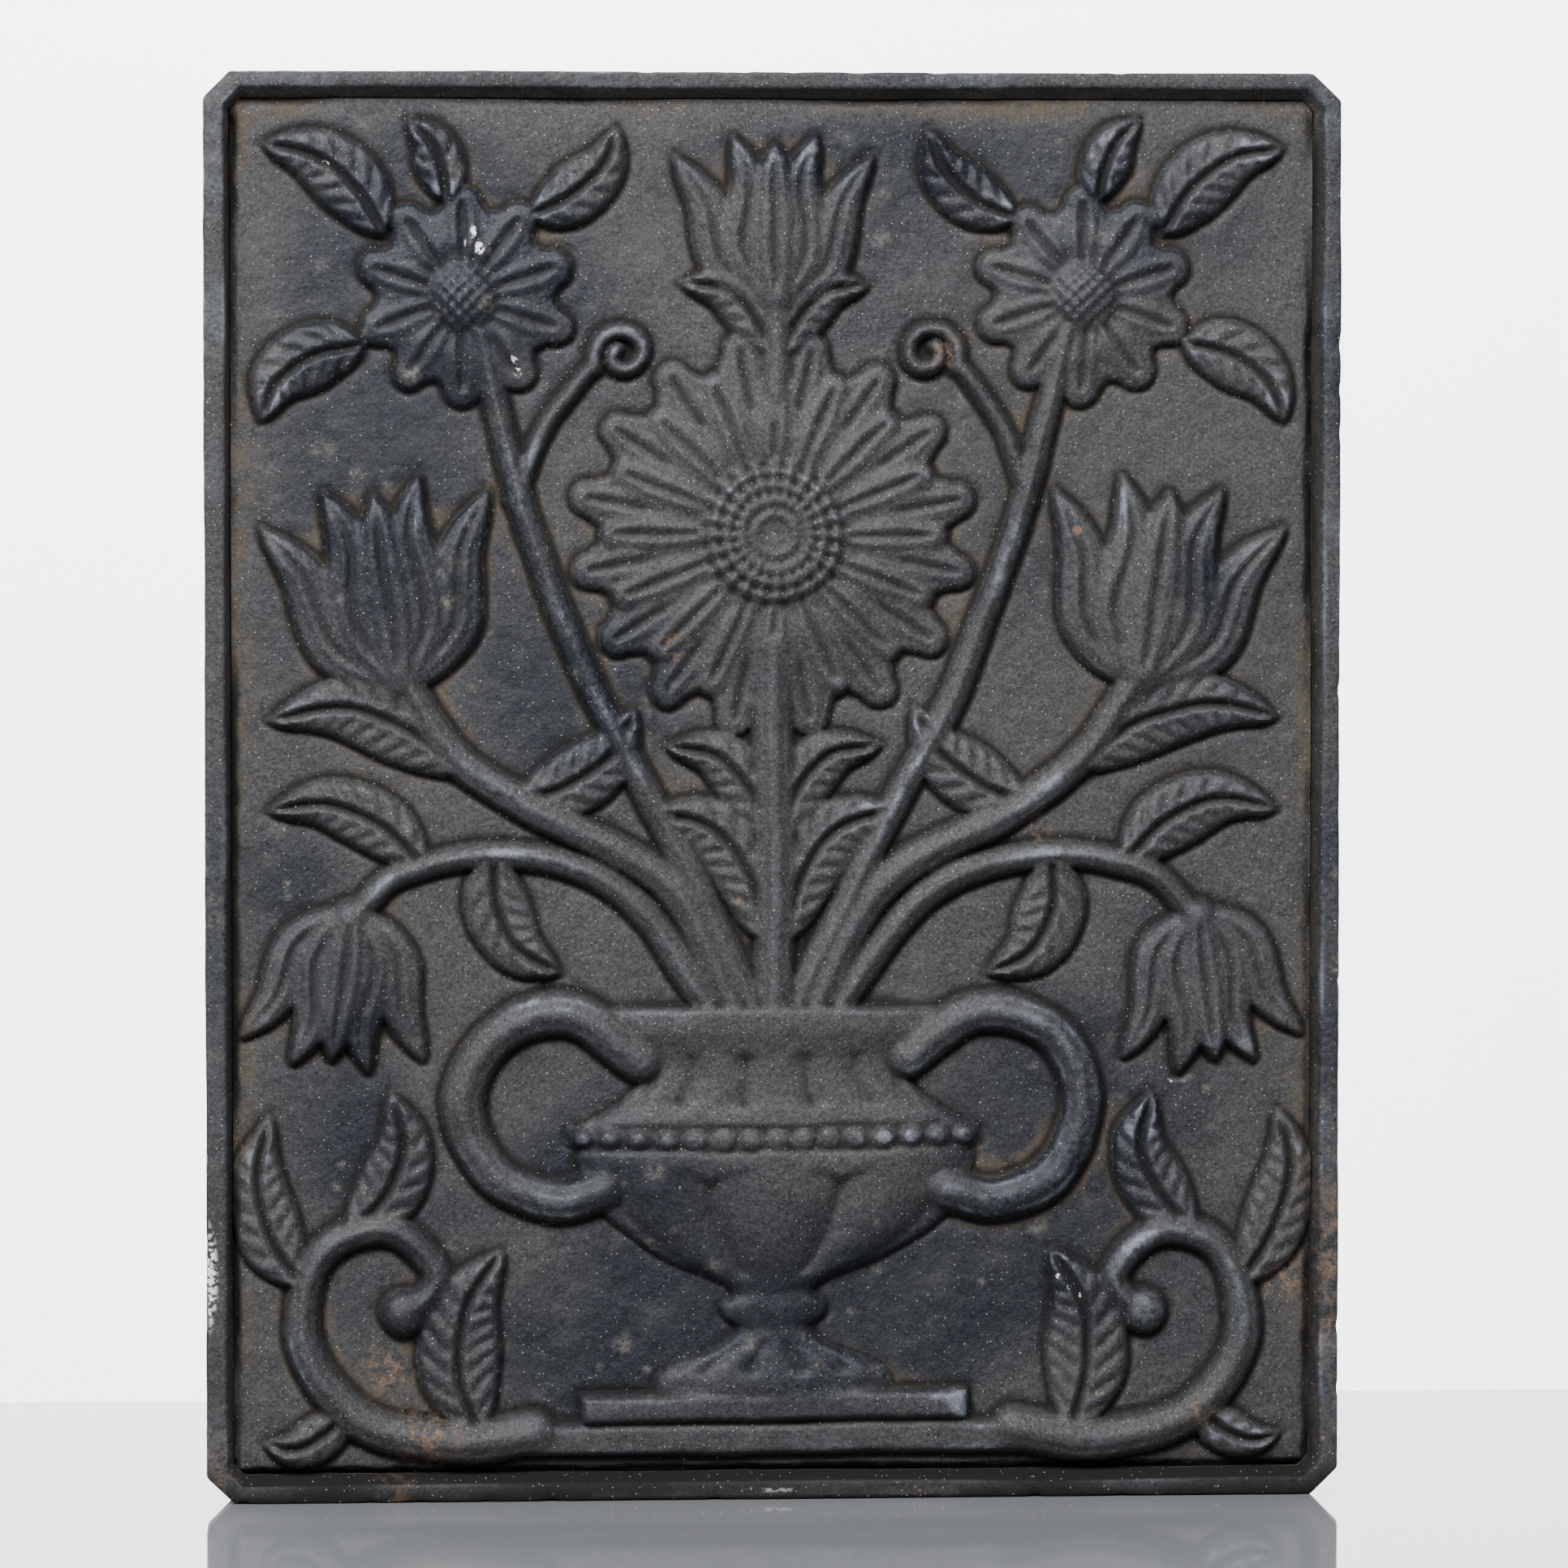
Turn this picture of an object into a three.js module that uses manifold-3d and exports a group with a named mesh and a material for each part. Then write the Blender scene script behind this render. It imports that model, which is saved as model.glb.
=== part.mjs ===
// A small cast-iron fireback: a raised border casting with clipped corners, a separate inner panel
// with an urn of flowers cast in relief, and two wrought-iron strap feet bolted on behind.
// Millimetres, +Z up. The origin is the middle of the bottom edge; the front faces -Y.
import * as THREE from 'three';
import { mergeVertices } from 'three/addons/utils/BufferGeometryUtils.js';
import Module from 'manifold-3d';

const wasm = await Module();
wasm.setup();

// ---- driving dimensions ----------------------------------------------------------------------
const overallWidth = 398;
const overallHeight = 500;

// border casting
const rimWidth = 6.5; // flat top of the border, seen from the front
const rimSetback = 6; // from the rim down to the panel's ground
const cornerClip = 9.5; // leg of each clipped outer corner
const innerCornerClip = 4; // leg of each clipped inner corner
const rimSoftening = 1.2; // worn edge of the rim
const wallDraft = 3; // how far the border's inner wall leans in, down to the ground
const ledgeThickness = 6.7; // rear ledge that the panel sits against
const ledgeReach = 12; // how far the ledge comes in behind the panel

// relief panel
const panelThickness = 9;
const slotWidth = 2; // dark slot between the panel's edge and the border's wall
const bossRadius = 12;
const bossSpacing = 220; // between the two columns of bosses, and between the two feet
const lowerBossHeight = 150; // above the hearth
const upperBossInset = 80; // below the border's top

// strap feet and their stays
const strapWidth = 25;
const strapThickness = 5;
const strapTopInset = 12; // below the border's top, so that the strap bears on the ledge there too
const footReach = 119; // from the border's back to the end of the foot
const strapBendRadius = 5; // inside of the bend
const stayWidth = 16;
const stayThickness = 5;
const stayTab = 22; // straight tab at each end of the stay
const stayHeight = 95; // lower edge of the stay's upper tab
const stayFootReach = 58; // from the strap's back to the start of the stay's lower tab

// fasteners
const studRadius = 4;
const blindFloor = 4; // iron left between a stud's end and the panel's ground
const studOverhang = 3; // stud end that shows past the nut
const washerRadius = 9;
const washerThickness = 1.6;
const nutAcross = 13;
const nutHeight = 6.5;
const rivetRadius = 3;
const rivetHeadRadius = 6;
const rivetHeadHeight = 3.4;

// clearances
const seatGap = 0.3; // between pieces that bear on each other
const holeClearance = 0.35; // round a stud or a rivet

// relief ornament: heights above the panel's ground, radii, and widths
const middleStemRadius = 7.2;
const cupStemRadius = 6.4;
const daisyStemRadius = 5.2;
const droopingStemRadius = 5;
const tendrilRadius = 3.4;
const handleRadius = 7.6;
const scrollRadius = 7;
const scrollEndRadius = 8.4;
const leafHeight = 5.4;
const leafWidth = 23; // across a leaf of usual size
const smallLeafWidth = 18;
const outerPetalHeight = 5.6;
const innerPetalHeight = 7.2;
const sunflowerRadius = 72;
const sunflowerInnerRadius = 61;
const sunflowerPetals = 16; // in each of its two rings
const seedDiscRadius = 30;
const seedDiscHeight = 9.6;
const daisyRadius = 39;
const daisyPetals = 10;
const daisyEyeHeight = 8;
const cupLength = 64; // a flower cup of usual size, from its foot to its petals' tips
const urnBowlRadius = 70;
const urnLobes = 5; // round the front half of the bowl
const plinthStepHeight = 11.5;

// ---- sizes worked out from them --------------------------------------------------------------
const frameDepth = rimSetback + panelThickness + seatGap + ledgeThickness;
const frontY = -frameDepth / 2;
const groundY = frontY + rimSetback;
const panelBackY = groundY + panelThickness;
const ledgeFrontY = panelBackY + seatGap;
const backY = frameDepth / 2;

const halfWidth = overallWidth / 2;
const middleZ = overallHeight / 2;
const openingHalfWidth = halfWidth - rimWidth;
const openingHalfHeight = middleZ - rimWidth;
const wallFootHalfWidth = openingHalfWidth - wallDraft;
const wallFootHalfHeight = openingHalfHeight - wallDraft;
const panelHalfWidth = wallFootHalfWidth - slotWidth;
const panelHalfHeight = wallFootHalfHeight - slotWidth;
const ledgeHalfWidth = panelHalfWidth - ledgeReach;
const ledgeHalfHeight = panelHalfHeight - ledgeReach;

const strapFrontY = backY + seatGap;
const strapBackY = strapFrontY + strapThickness;
const footEndY = backY + footReach;
const strapTopZ = overallHeight - strapTopInset;
const upperBossZ = overallHeight - upperBossInset;
const studStartY = groundY + blindFloor;
const washerFrontY = strapBackY + seatGap;
const nutFrontY = washerFrontY + washerThickness + seatGap;
const studEndY = nutFrontY + nutHeight + studOverhang;
const studHoleRadius = studRadius + holeClearance;
const rivetHoleRadius = rivetRadius + holeClearance;

const stayFrontY = strapBackY + seatGap;
const stayBottomZ = strapThickness + seatGap;
const upperRivetZ = stayHeight + stayTab / 2;
const lowerRivetY = stayFrontY + stayFootReach + stayTab / 2;

// ---- solids ----------------------------------------------------------------------------------
// A closed geometry as a solid: shared corners merged, triangles that closed up at a pole dropped.
function solid(geometry) {
  const bare = geometry.clone();
  bare.deleteAttribute('normal');
  bare.deleteAttribute('uv');
  const merged = mergeVertices(bare, 1e-4);
  const corners = merged.index.array;
  const triangles = [];
  for (let i = 0; i < corners.length; i += 3) {
    const [a, b, c] = [corners[i], corners[i + 1], corners[i + 2]];
    if (a !== b && b !== c && c !== a) triangles.push(a, b, c);
  }
  return new wasm.Manifold(new wasm.Mesh({
    numProp: 3,
    vertProperties: new Float32Array(merged.attributes.position.array),
    triVerts: new Uint32Array(triangles),
  }));
}

function geometryOf(manifold) {
  const mesh = manifold.getMesh();
  const geometry = new THREE.BufferGeometry();
  geometry.setAttribute('position', new THREE.BufferAttribute(new Float32Array(mesh.vertProperties), 3));
  geometry.setIndex(new THREE.BufferAttribute(new Uint32Array(mesh.triVerts), 1));
  return geometry;
}

// All the solids joined, two by two, so that no join carries the whole relief.
function joined(solids) {
  let row = solids;
  while (row.length > 1) {
    const next = [];
    for (let i = 0; i < row.length; i += 2) {
      next.push(i + 1 < row.length ? row[i].add(row[i + 1]) : row[i]);
    }
    row = next;
  }
  return row[0];
}

function box(xMin, xMax, yMin, yMax, zMin, zMax) {
  const geometry = new THREE.BoxGeometry(xMax - xMin, yMax - yMin, zMax - zMin);
  geometry.translate((xMin + xMax) / 2, (yMin + yMax) / 2, (zMin + zMax) / 2);
  return solid(geometry);
}

function barAlongY(radius, yMin, yMax, x, z, sides = 16) {
  const geometry = new THREE.CylinderGeometry(radius, radius, yMax - yMin, sides);
  return solid(geometry.translate(x, (yMin + yMax) / 2, z));
}

function barAlongZ(radius, zMin, zMax, x, y, sides = 16) {
  const geometry = new THREE.CylinderGeometry(radius, radius, zMax - zMin, sides).rotateX(Math.PI / 2);
  return solid(geometry.translate(x, y, (zMin + zMax) / 2));
}

// An outline drawn in X and Z, given its depth along +Y.
function slab(shape, yMin, yMax, softening = 0) {
  const geometry = new THREE.ExtrudeGeometry(shape, {
    depth: yMax - yMin - 2 * softening,
    curveSegments: 8,
    bevelEnabled: softening > 0,
    bevelSegments: 1,
    bevelSize: softening,
    bevelOffset: -softening,
    bevelThickness: softening,
  });
  geometry.rotateX(Math.PI / 2);
  geometry.translate(0, yMax - softening, 0);
  return geometry;
}

function clippedRectangle(halfW, halfH, clip) {
  const shape = new THREE.Shape();
  shape.moveTo(-halfW + clip, -halfH);
  shape.lineTo(halfW - clip, -halfH);
  shape.lineTo(halfW, -halfH + clip);
  shape.lineTo(halfW, halfH - clip);
  shape.lineTo(halfW - clip, halfH);
  shape.lineTo(-halfW + clip, halfH);
  shape.lineTo(-halfW, halfH - clip);
  shape.lineTo(-halfW, -halfH + clip);
  shape.closePath();
  return shape;
}

// ---- border casting --------------------------------------------------------------------------
function borderFrame() {
  const outline = clippedRectangle(halfWidth, middleZ, cornerClip);
  const body = solid(slab(outline, frontY, backY, rimSoftening).translate(0, 0, middleZ));
  // the opening leans in from the rim down to the ground, and goes straight on to the ledge
  const through = 1;
  const opening = clippedRectangle(openingHalfWidth, openingHalfHeight, innerCornerClip);
  const mouth = slab(opening, frontY - through, groundY);
  const corners = mouth.attributes.position;
  const lean = wallDraft / rimSetback;
  for (let i = 0; i < corners.count; i += 1) {
    const inward = (corners.getY(i) - frontY) * lean;
    corners.setX(i, corners.getX(i) - Math.sign(corners.getX(i)) * inward);
    corners.setZ(i, corners.getZ(i) - Math.sign(corners.getZ(i)) * inward);
  }
  mouth.translate(0, 0, middleZ);
  const seat = clippedRectangle(wallFootHalfWidth, wallFootHalfHeight, innerCornerClip);
  const seatCut = slab(seat, groundY - seatGap, ledgeFrontY).translate(0, 0, middleZ);
  const rearCut = box(-ledgeHalfWidth, ledgeHalfWidth, ledgeFrontY - through, backY + through,
    middleZ - ledgeHalfHeight, middleZ + ledgeHalfHeight);
  return body.subtract(solid(mouth)).subtract(solid(seatCut)).subtract(rearCut);
}

// ---- relief ornament -------------------------------------------------------------------------
// The drawing is laid out from the plate's lower edge on a panel of this size, and stretches with
// the panel that carries it.
const drawnHalfWidth = 187.5;
const drawnHalfHeight = 238.5;
const drawnMiddleZ = 250;
const stretchX = panelHalfWidth / drawnHalfWidth;
const stretchZ = panelHalfHeight / drawnHalfHeight;
const sink = 0.6; // how far the ornament is rooted in the ground

function at(x, z) {
  return new THREE.Vector3(x * stretchX, groundY, middleZ + (z - drawnMiddleZ) * stretchZ);
}

// A half-round stem laid on the ground along a curve.
function stem(curve, radius, steps) {
  const section = new THREE.Shape();
  section.absarc(0, 0, radius, 0, Math.PI * 2);
  return solid(new THREE.ExtrudeGeometry(section, { extrudePath: curve, steps, curveSegments: 4 }));
}

// A pointed blade with a ridge along its middle, from its base to its tip: a leaf or a petal.
// "fullest" says how far along it is widest, and "bow" how far its middle bends to the left, as a
// share of its length.
function blade(base, tip, width, height, bow = 0, fullest = 0.45, rings = 5, sides = 6) {
  const length = base.distanceTo(tip);
  const power = Math.log(0.5) / Math.log(fullest);
  const profile = [];
  for (let i = 0; i <= rings; i += 1) {
    const share = i / rings;
    const swell = Math.sin(Math.PI * share ** power) ** 0.75;
    profile.push(new THREE.Vector2(i === 0 || i === rings ? 0 : swell, share * length));
  }
  const geometry = new THREE.LatheGeometry(profile, sides);
  const points = geometry.attributes.position;
  for (let i = 0; i < points.count; i += 1) {
    const share = points.getY(i) / length;
    const aside = -bow * length * Math.sin(Math.PI * share);
    points.setXYZ(i, points.getX(i) * width / 2 + aside, points.getY(i), points.getZ(i) * height);
  }
  const along = tip.clone().sub(base).normalize();
  const forward = new THREE.Vector3(0, -1, 0);
  const across = along.clone().cross(forward);
  const place = new THREE.Matrix4().makeBasis(across, along, forward).setPosition(base);
  return solid(geometry.applyMatrix4(place));
}

// A low dome, such as a flower's eye.
function dome(centre, radius, height, sides = 12) {
  const geometry = new THREE.SphereGeometry(radius, sides, 6);
  geometry.scale(1, height / radius, 1);
  geometry.translate(centre.x, centre.y, centre.z);
  return solid(geometry);
}

// Petals set round a flower's eye, from an inner radius out to the flower's edge.
function petalRing(centre, innerRadius, outerRadius, count, height, startAngle) {
  const petals = [];
  const width = 2.15 * outerRadius * Math.sin(Math.PI / count);
  for (let i = 0; i < count; i += 1) {
    const angle = startAngle + (i / count) * Math.PI * 2;
    const spoke = new THREE.Vector3(Math.cos(angle), 0, Math.sin(angle));
    const base = centre.clone().addScaledVector(spoke, innerRadius);
    const tip = centre.clone().addScaledVector(spoke, outerRadius);
    petals.push(blade(base, tip, width, height, 0, 0.66, 4));
  }
  return petals;
}

// A flower cup of five petals that opens along its stem's direction.
function flowerCup(base, angle, scale = 1) {
  const length = cupLength * scale;
  const along = new THREE.Vector3(Math.cos(angle), 0, Math.sin(angle));
  const aside = new THREE.Vector3(-Math.sin(angle), 0, Math.cos(angle));
  const petals = [dome(base, length * 0.14, innerPetalHeight + 0.6, 10)];
  const rows = [
    { reach: 0.9, spread: 0.6, width: 0.32, height: outerPetalHeight, bow: 0.12 },
    { reach: 1.02, spread: 0.25, width: 0.34, height: innerPetalHeight, bow: 0.07 },
  ];
  for (const row of rows) {
    for (const side of [-1, 1]) {
      const tip = base.clone().addScaledVector(along, row.reach * length);
      tip.addScaledVector(aside, side * row.spread * length);
      const root = base.clone().addScaledVector(aside, side * length * 0.06);
      petals.push(blade(root, tip, row.width * length, row.height, side * row.bow, 0.42));
    }
  }
  const middleTip = base.clone().addScaledVector(along, length * 0.97);
  petals.push(blade(base, middleTip, length * 0.42, innerPetalHeight + 1.4, 0, 0.45));
  return petals;
}

// The urn: a turned outline, flattened so that it stands out little more than the flowers do.
function urn() {
  const bowl = urnBowlRadius;
  const outline = [
    [37, 0], [37, 40], [45, 38], [50, 26], [58, 13], [64, 17], [69, 17], [74, 14], [84, 37],
    [97, bowl * 0.82], [110, bowl * 0.94], [122, bowl], [124, bowl + 2], [131, bowl + 2], [133, bowl - 5],
    [142, 52], [151, 46], [158, 49], [163, 60], [171, 62], [173, 57], [173, 0],
  ];
  const profile = outline.map(([z, radius]) => new THREE.Vector2(radius, z));
  const turned = new THREE.LatheGeometry(profile, 36);
  const points = turned.attributes.position;
  const bowlFoot = 76;
  const bowlTop = 122;
  for (let i = 0; i < points.count; i += 1) {
    const [x, z, depth] = [points.getX(i), points.getY(i), points.getZ(i)];
    const radius = Math.hypot(x, depth);
    const turn = radius > 0 ? Math.asin(Math.max(-1, Math.min(1, x / radius))) : 0;
    const bulge = 3.2 + 0.088 * radius;
    const onBowl = z > bowlFoot && z < bowlTop;
    const lobe = onBowl ? 1.8 * Math.abs(Math.cos(turn * urnLobes)) ** 0.7 - 0.6 : 0;
    const out = radius > 0 ? (bulge + lobe) * (depth / radius) : 0;
    const spot = at(x, z);
    points.setXYZ(i, spot.x, groundY - out, spot.z);
  }
  return solid(turned);
}

// A flat moulded step under the urn.
function plinthStep(halfLength, z, height) {
  const low = at(-halfLength, z);
  const high = at(halfLength, z + plinthStepHeight);
  return box(low.x, high.x, groundY - height, groundY + sink, low.z, high.z);
}

// Everything that grows on one side of the urn; side is -1 for the left and 1 for the right.
function sideGrowth(side) {
  const p = (x, z) => at(side * x, z);
  const curve = (...points) => new THREE.CatmullRomCurve3(points.map(([x, z]) => p(x, z)));
  const leaf = (from, to, bow = 0, width = leafWidth) => (
    blade(p(...from), p(...to), width, leafHeight, side * bow * 0.85)
  );
  const up = Math.PI / 2;
  const bowl = urnBowlRadius;
  return [
    // scroll and leaves in the lower corner
    stem(curve([84, 24], [112, 20], [146, 29], [165, 56], [159, 86], [136, 95], [119, 79], [129, 63]),
      scrollRadius, 22),
    dome(p(130, 66), scrollEndRadius, scrollEndRadius, 10),
    leaf([104, 24], [96, 88], -0.16, 29),
    leaf([166, 76], [177, 136], -0.15),
    leaf([148, 94], [134, 144], 0.2),
    leaf([150, 32], [182, 21], -0.2, 15),
    // drooping flower
    stem(curve([18, 166], [52, 212], [92, 227], [130, 221], [149, 204]), droopingStemRadius, 14),
    leaf([97, 227], [74, 184], 0.22),
    leaf([122, 224], [178, 242], 0.18),
    ...flowerCup(p(149, 206), -up + side * 0.1, 0.84),
    // open cup at the side
    stem(curve([11, 166], [36, 214], [80, 241], [110, 262], [130, 290]), cupStemRadius, 14),
    leaf([88, 246], [48, 278], 0.14),
    leaf([108, 258], [180, 274], 0.16, 26),
    ...flowerCup(p(130, 288), up - side * 0.14, 1.06),
    // daisy in the upper corner
    stem(curve([5, 168], [36, 232], [66, 290], [88, 350], [102, 410]), daisyStemRadius, 14),
    ...petalRing(p(108, 422), daisyRadius * 0.3, daisyRadius, daisyPetals, outerPetalHeight, up),
    dome(p(108, 422), daisyRadius * 0.36, daisyEyeHeight),
    leaf([136, 444], [181, 474], 0.16),
    leaf([84, 450], [54, 481], 0.16, smallLeafWidth),
    leaf([144, 406], [182, 378], 0.2),
    leaf([114, 456], [128, 484], 0.14, smallLeafWidth),
    // curled tendril
    stem(curve([90, 350], [80, 376], [65, 393], [55, 391], [44, 396], [44, 409], [56, 412], [61, 402]),
      tendrilRadius, 18),
    // leaves up the middle stem
    leaf([3, 196], [46, 242], 0.22),
    leaf([2, 232], [38, 264], 0.22, smallLeafWidth),
    leaf([2, 402], [34, 426], 0.2, smallLeafWidth),
    // the urn's handle
    stem(curve([bowl - 26, 162], [bowl + 1, 172], [bowl + 27, 164], [bowl + 39, 140], [bowl + 29, 115],
      [bowl + 8, 105], [bowl - 10, 110]), handleRadius, 18),
  ];
}

function reliefPanel() {
  const middleX = 0;
  const flower = at(middleX, 338);
  const pieces = [
    ...sideGrowth(-1),
    ...sideGrowth(1),
    stem(new THREE.LineCurve3(at(middleX, 160), at(middleX, 300)), middleStemRadius, 1),
    stem(new THREE.LineCurve3(at(middleX, 380), at(middleX, 430)), cupStemRadius, 1),
    ...flowerCup(at(middleX, 420), Math.PI / 2, 0.9),
    ...petalRing(flower, 26, sunflowerRadius, sunflowerPetals, outerPetalHeight, Math.PI / sunflowerPetals),
    ...petalRing(flower, 24, sunflowerInnerRadius, sunflowerPetals, innerPetalHeight, 0),
    dome(flower, seedDiscRadius, seedDiscHeight, 20),
    urn(),
    plinthStep(68, 27, 6.5),
    plinthStep(88, 15, 5),
  ];
  const tallest = 2 * urnBowlRadius;
  const front = box(-panelHalfWidth, panelHalfWidth, groundY - tallest, groundY + sink,
    middleZ - panelHalfHeight, middleZ + panelHalfHeight);
  const ornament = joined(pieces).intersect(front);
  let panel = box(-panelHalfWidth, panelHalfWidth, groundY, panelBackY,
    middleZ - panelHalfHeight, middleZ + panelHalfHeight);
  panel = panel.add(ornament);
  for (const x of [-bossSpacing / 2, bossSpacing / 2]) {
    for (const z of [lowerBossHeight, upperBossZ]) {
      panel = panel.add(barAlongY(bossRadius, panelBackY - 1, backY, x, z, 24));
      panel = panel.subtract(barAlongY(studHoleRadius, studStartY - seatGap, backY + 1, x, z));
    }
  }
  return panel;
}

// ---- strap feet and stays --------------------------------------------------------------------
// The side view of a flat bar bent along a centre line of [y, z] points, as one closed outline.
function barOutline(centreLine, thickness) {
  const half = thickness / 2;
  const edges = [[], []];
  centreLine.forEach(([y, z], i) => {
    const before = centreLine[Math.max(i - 1, 0)];
    const after = centreLine[Math.min(i + 1, centreLine.length - 1)];
    const into = new THREE.Vector2(y - before[0], z - before[1]);
    const out = new THREE.Vector2(after[0] - y, after[1] - z);
    const first = (into.length() > 0 ? into : out).clone().normalize();
    const second = (out.length() > 0 ? out : into).clone().normalize();
    const mitre = new THREE.Vector2(-(first.y + second.y), first.x + second.x).normalize();
    const reach = half / mitre.dot(new THREE.Vector2(-first.y, first.x));
    edges[0].push(new THREE.Vector2(y + mitre.x * reach, z + mitre.y * reach));
    edges[1].push(new THREE.Vector2(y - mitre.x * reach, z - mitre.y * reach));
  });
  return new THREE.Shape([...edges[0], ...edges[1].reverse()]);
}

// A side view in Y and Z, given its width along X.
function acrossX(shape, width, x) {
  const geometry = new THREE.ExtrudeGeometry(shape, { depth: width, bevelEnabled: false });
  const place = new THREE.Matrix4().makeBasis(
    new THREE.Vector3(0, 1, 0), new THREE.Vector3(0, 0, 1), new THREE.Vector3(1, 0, 0),
  ).setPosition(x - width / 2, 0, 0);
  return solid(geometry.applyMatrix4(place));
}

// A long tongue with one round end, in the plane that the geometry is turned to.
function tongue(width, from, to) {
  const shape = new THREE.Shape();
  const half = width / 2;
  shape.moveTo(-half, from);
  shape.lineTo(half, from);
  shape.lineTo(half, to - half);
  shape.absarc(0, to - half, half, 0, Math.PI);
  shape.closePath();
  return shape;
}

function strapFoot(x) {
  const half = strapThickness / 2;
  const bendRadius = strapBendRadius + half;
  const uprightY = strapFrontY + half;
  const bendPoints = [];
  const bendSteps = 5;
  for (let i = 0; i <= bendSteps; i += 1) {
    const angle = (i / bendSteps) * (Math.PI / 2);
    bendPoints.push([
      uprightY + bendRadius - bendRadius * Math.cos(angle),
      half + bendRadius - bendRadius * Math.sin(angle),
    ]);
  }
  const sideView = barOutline([[uprightY, strapTopZ], ...bendPoints, [footEndY, half]], strapThickness);
  const past = 10;
  const frontView = slab(tongue(strapWidth, -past, strapTopZ), frontY, footEndY + past);
  const planView = new THREE.ExtrudeGeometry(tongue(strapWidth, frontY, footEndY), {
    depth: strapTopZ + 2 * past, curveSegments: 8, bevelEnabled: false,
  });
  planView.translate(x, 0, -past);
  let bar = acrossX(sideView, strapWidth, x);
  bar = bar.intersect(solid(frontView.translate(x, 0, 0))).intersect(solid(planView));
  for (const z of [lowerBossHeight, upperBossZ]) {
    bar = bar.subtract(barAlongY(studHoleRadius, strapFrontY - 1, strapBackY + 1, x, z));
  }
  bar = bar.subtract(barAlongY(rivetHoleRadius, strapFrontY - 1, strapBackY + 1, x, upperRivetZ));
  bar = bar.subtract(barAlongZ(rivetHoleRadius, -1, strapThickness + 1, x, lowerRivetY));
  return bar.subtract(countersink(x));
}

// The sunk seat of the lower rivet's head, so that the foot stays flat on the hearth.
function countersink(x) {
  const mouth = rivetHeadRadius + holeClearance;
  const cone = new THREE.CylinderGeometry(rivetHoleRadius, mouth, rivetHeadHeight, 16).rotateX(Math.PI / 2);
  cone.translate(x, lowerRivetY, seatGap + rivetHeadHeight / 2);
  return solid(cone).add(barAlongZ(mouth, -1, seatGap, x, lowerRivetY));
}

function stay(x) {
  const half = stayThickness / 2;
  const tabY = stayFrontY + half;
  const tabZ = stayBottomZ + half;
  const foot = stayFrontY + stayFootReach;
  const sideView = barOutline([
    [tabY, stayHeight + stayTab], [tabY, stayHeight], [foot, tabZ], [foot + stayTab, tabZ],
  ], stayThickness);
  const bar = acrossX(sideView, stayWidth, x);
  const past = 1;
  const backFace = stayFrontY + stayThickness + past;
  const topFace = stayBottomZ + stayThickness + past;
  const upperHole = barAlongY(rivetHoleRadius, stayFrontY - past, backFace, x, upperRivetZ);
  const lowerHole = barAlongZ(rivetHoleRadius, stayBottomZ - past, topFace, x, lowerRivetY);
  return bar.subtract(upperHole).subtract(lowerHole);
}

// ---- fasteners -------------------------------------------------------------------------------
function washer(x, z) {
  const washerBackY = washerFrontY + washerThickness;
  const disc = barAlongY(washerRadius, washerFrontY, washerBackY, x, z, 20);
  return disc.subtract(barAlongY(studHoleRadius, washerFrontY - 1, washerBackY + 1, x, z));
}

// A square nut whose outer corners are turned off at a slant.
function squareNut(x, z) {
  const half = nutAcross / 2;
  const blank = box(x - half, x + half, nutFrontY, nutFrontY + nutHeight, z - half, z + half);
  const cornerRadius = half * Math.SQRT2;
  const turned = new THREE.LatheGeometry([
    new THREE.Vector2(0, -1), new THREE.Vector2(cornerRadius + 1, -1),
    new THREE.Vector2(cornerRadius + 1, nutHeight - 1.5), new THREE.Vector2(half, nutHeight),
    new THREE.Vector2(0, nutHeight),
  ], 24);
  turned.translate(x, nutFrontY, z);
  const bore = barAlongY(studHoleRadius, nutFrontY - 1, nutFrontY + nutHeight + 1, x, z);
  return blank.intersect(solid(turned)).subtract(bore);
}

// A stud with a small chamfer at each end.
function stud(x, z) {
  const length = studEndY - studStartY;
  const chamfer = 0.8;
  const geometry = new THREE.LatheGeometry([
    new THREE.Vector2(0, 0), new THREE.Vector2(studRadius - chamfer, 0),
    new THREE.Vector2(studRadius, chamfer), new THREE.Vector2(studRadius, length - chamfer),
    new THREE.Vector2(studRadius - chamfer, length), new THREE.Vector2(0, length),
  ], 16);
  return solid(geometry.translate(x, studStartY, z));
}

// A rivet on its own axis, from its first head to its last; the dome is at the far end.
function rivetProfile(grip, firstHead) {
  const domeSteps = 4;
  const end = grip + 2 * seatGap;
  const profile = [...firstHead, new THREE.Vector2(rivetRadius, end)];
  for (let i = 0; i <= domeSteps; i += 1) {
    const angle = (i / domeSteps) * (Math.PI / 2);
    const radius = i === domeSteps ? 0 : rivetHeadRadius * Math.cos(angle);
    profile.push(new THREE.Vector2(radius, end + rivetHeadHeight * Math.sin(angle)));
  }
  return profile;
}

// The upper rivet has a low head inside the panel's recess and a dome outside the stay.
function upperRivet(x) {
  const lowHead = rivetHeadHeight * 0.6;
  const first = [
    new THREE.Vector2(0, -lowHead), new THREE.Vector2(rivetHeadRadius * 0.7, -lowHead),
    new THREE.Vector2(rivetHeadRadius, 0), new THREE.Vector2(rivetRadius, 0),
  ];
  const grip = strapThickness + seatGap + stayThickness;
  const geometry = new THREE.LatheGeometry(rivetProfile(grip, first), 12);
  return solid(geometry.translate(x, strapFrontY - seatGap, upperRivetZ));
}

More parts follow.
